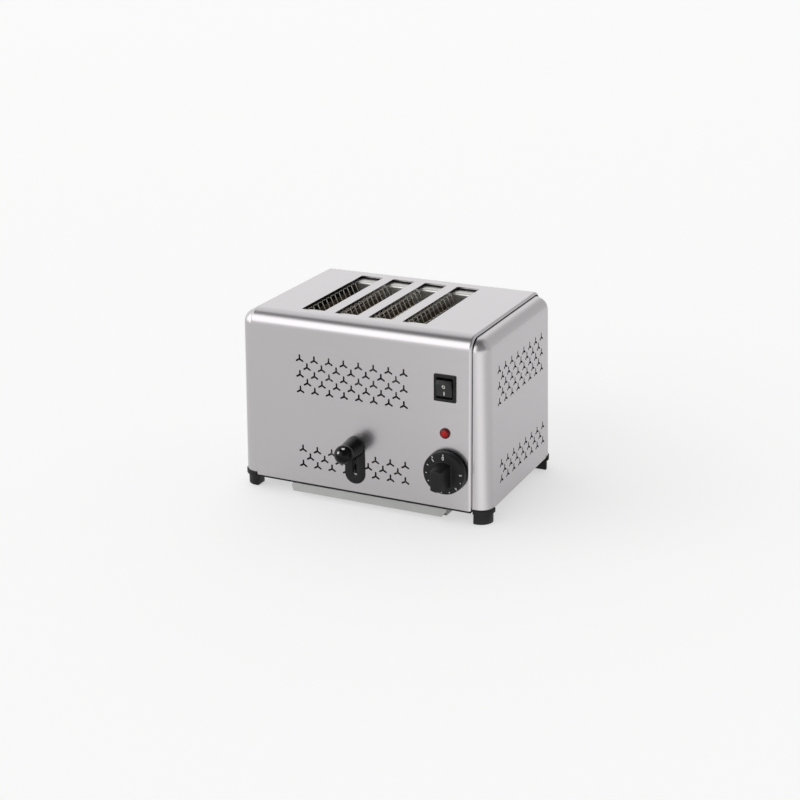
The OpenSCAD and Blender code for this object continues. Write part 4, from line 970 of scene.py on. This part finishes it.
def makeScrews():
    tree, given = newTree("screws", [("Screw", "Object"), ("Turn", "Rotation")])
    one = addNode(tree, "GeometryNodeObjectInfo", inputs={"Object": given["Screw"]})
    row = addNode(tree, "GeometryNodeInstanceOnPoints", inputs={
        "Points": given["Geometry"], "Instance": one.outputs["Geometry"], "Rotation": given["Turn"]})
    endTree(tree, row.outputs["Instances"], screwSteel)
    for node, s in screwSet.items():
        low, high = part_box(node)
        axis = s["axis"]
        length = (high - low)[axis] / milli - s["high"]
        seat = (high if s["end"] > 0 else low)[axis] - s["end"] * s["high"] * milli
        spots = []
        for x, other in screwSpots(node):
            spot = [x, other, other]
            spot[axis] = seat
            spots.append(spot)
        template = linked("screwTemplate", screwMesh(s["head"], s["high"], s["shank"], length))
        mesh = bpy.data.meshes.new(node)
        mesh.from_pydata(spots, [], [])
        first, second = node.split("_")
        piece = bake(first + second.title(), mesh, tree, {"Screw": template, "Turn": s["turn"]},
                     screwShape["sharp"])
        bpy.data.objects.remove(template)
        stand(piece, "chassis", "bright_steel", node)


makeScrews()
print("screws done")


# feet: a moulded block with a band around the cap's lower corner

footSet = {"body": 15.0, "band": 17.3, "bandLow": 12.8, "rimIn": 16.2, "seat": 17.1, "top": 18.2, "sink": 4.5,
           "sinkDeep": 6.0, "sinkEdge": 0.3, "bore": 2.2, "edge": 0.8, "edgeMid": 0.3, "corner": 0.8,
           "arcSteps": 16,
           # the outside above its lower edge: a radius and a height, each with its offset at a rounded edge
           "outside": [("body", 0, "bandLow", -0.4), ("body", 0.3, "bandLow", 0),
                       ("band", -0.5, "bandLow", 0), ("band", -0.1, "bandLow", 0.15),
                       ("band", 0, "bandLow", 0.5), ("band", 0, "top", -0.4), ("band", -0.15, "top", -0.1),
                       ("band", -0.4, "top", 0), ("rimIn", 0.2, "top", 0), ("rimIn", 0, "top", -0.2),
                       ("rimIn", 0, "seat", 0)]}


def footOutline(radius, low, centre, shrink):
    # plan with one large round corner, seen from above at the +X +Y corner
    s = footSet
    steps = s["arcSteps"]
    arc = [(centre[0] + radius * math.cos(a), centre[1] + radius * math.sin(a))
           for a in [math.pi / 2 * k / steps for k in range(steps + 1)]]
    x, y = low[0] + shrink, low[1] + shrink
    points = [(x, y), (centre[0] + radius, y)] + arc + [(x, centre[1] + radius)]
    return rounded(points, [s["corner"]] * 2 + [0] * len(arc) + [s["corner"]], closed=True)


def makeFoot(node):
    s = footSet
    low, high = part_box(node)
    middle = (low + high) / 2
    screw = min(screwSpots("foot_screws"), key=lambda p: abs(p[0] - middle.x) + abs(p[1] - middle.y))
    # worked out for the +X +Y corner, then mirrored
    sx = 1 if middle.x > 0 else -1
    sy = 1 if middle.y > 0 else -1
    x0, x1 = sorted((sx * low.x / milli, sx * high.x / milli))
    y0, y1 = sorted((sy * low.y / milli, sy * high.y / milli))
    hx, hy = sx * screw[0] / milli, sy * screw[1] / milli
    centre = (x1 - s["band"], y1 - s["band"])
    edge, mid = s["edge"], s["edge"] * s["edgeMid"]
    sections = [(s["body"] - edge, 0, edge), (s["body"] - mid, mid, mid), (s["body"], edge, 0)]
    sections += [(s[wide] + out, s[tall] + up, 0) for wide, out, tall, up in s["outside"]]
    rings = [[(x, y, z) for x, y in footOutline(r, (x0, y0), centre, shrink)] for r, z, shrink in sections]
    angles = [math.atan2(y - hy, x - hx) for x, y, z in rings[0]]
    hole = [(s["bore"], s["seat"]), (s["bore"], s["sinkDeep"]), (s["sink"], s["sinkDeep"]),
            (s["sink"], s["sinkEdge"]), (s["sink"] + s["sinkEdge"], 0)]
    rings += [[(hx + r * math.cos(a), hy + r * math.sin(a), z) for a in angles] for r, z in hole]
    bm = bmesh.new()
    loft(bm, [[(sx * x * milli, sy * y * milli, z * milli) for x, y, z in ring] for ring in rings],
         closed=True)
    addPiece(bm, node.title().replace("_", ""), plasticBlack, "chassis", "black_plastic", node)


for node in ("foot_front_left", "foot_front_right", "foot_rear_left", "foot_rear_right"):
    makeFoot(node)
print("feet done")


# cord gland at the back: a hexagon with a rounded mouth, and its nut inside

cordGland = {"bore": 4.0, "hexagon": 9.5, "corner": 1.2, "cornerSteps": 7, "out": 4.0, "mouth": 7.0,
             "mouthFrom": 0.9, "edge": 0.8, "sleeve": 6.0, "inside": 10.0,
             "taper": [(1.0, 0.0), (1.0, 0.7), (0.9, 0.85)],   # shares of the hexagon and of its height
             "nutSize": 0.89, "nutFrom": -5.0, "nutTo": -1.2}


def onBack(sections, middle, face):
    # sections of (flat points in mm, share of their size, distance behind the back panel)
    return [[(middle.x + p[0] * keep * milli, face + out * milli, middle.z + p[1] * keep * milli)
             for p in points] for points, keep, out in sections]


def makeGland():
    s = cordGland
    low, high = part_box("cord_gland")
    middle = (low + high) / 2
    out, edge = s["out"], s["edge"]
    face = high.y - out * milli
    corners = [(s["hexagon"] * math.cos(a), s["hexagon"] * math.sin(a)) for a in fullTurn(6)]
    hexagon = rounded(corners, s["corner"], s["cornerSteps"], True)
    angles = [math.atan2(p[1], p[0]) for p in hexagon]
    circle = [(math.cos(a), math.sin(a)) for a in angles]
    body = [(hexagon, keep, out * share) for keep, share in s["taper"]]
    body += [(circle, r, d) for r, d in (
        (s["mouth"], out * s["mouthFrom"]), (s["mouth"] - edge, out), (s["bore"] + edge, out),
        (s["bore"], out - edge), (s["bore"], -s["inside"]), (s["sleeve"], -s["inside"]), (s["sleeve"], 0))]
    nut = [(hexagon, s["nutSize"], s["nutFrom"]), (hexagon, s["nutSize"], s["nutTo"]),
           (circle, s["sleeve"], s["nutTo"]), (circle, s["sleeve"], s["nutFrom"])]
    bm = bmesh.new()
    for sections in (body, nut):
        loft(bm, onBack(sections, middle, face), closed=True)
    addPiece(bm, "cordGland", plasticBlack, "chassis", "black_plastic", "cord_gland")


makeGland()
print("cord gland done")
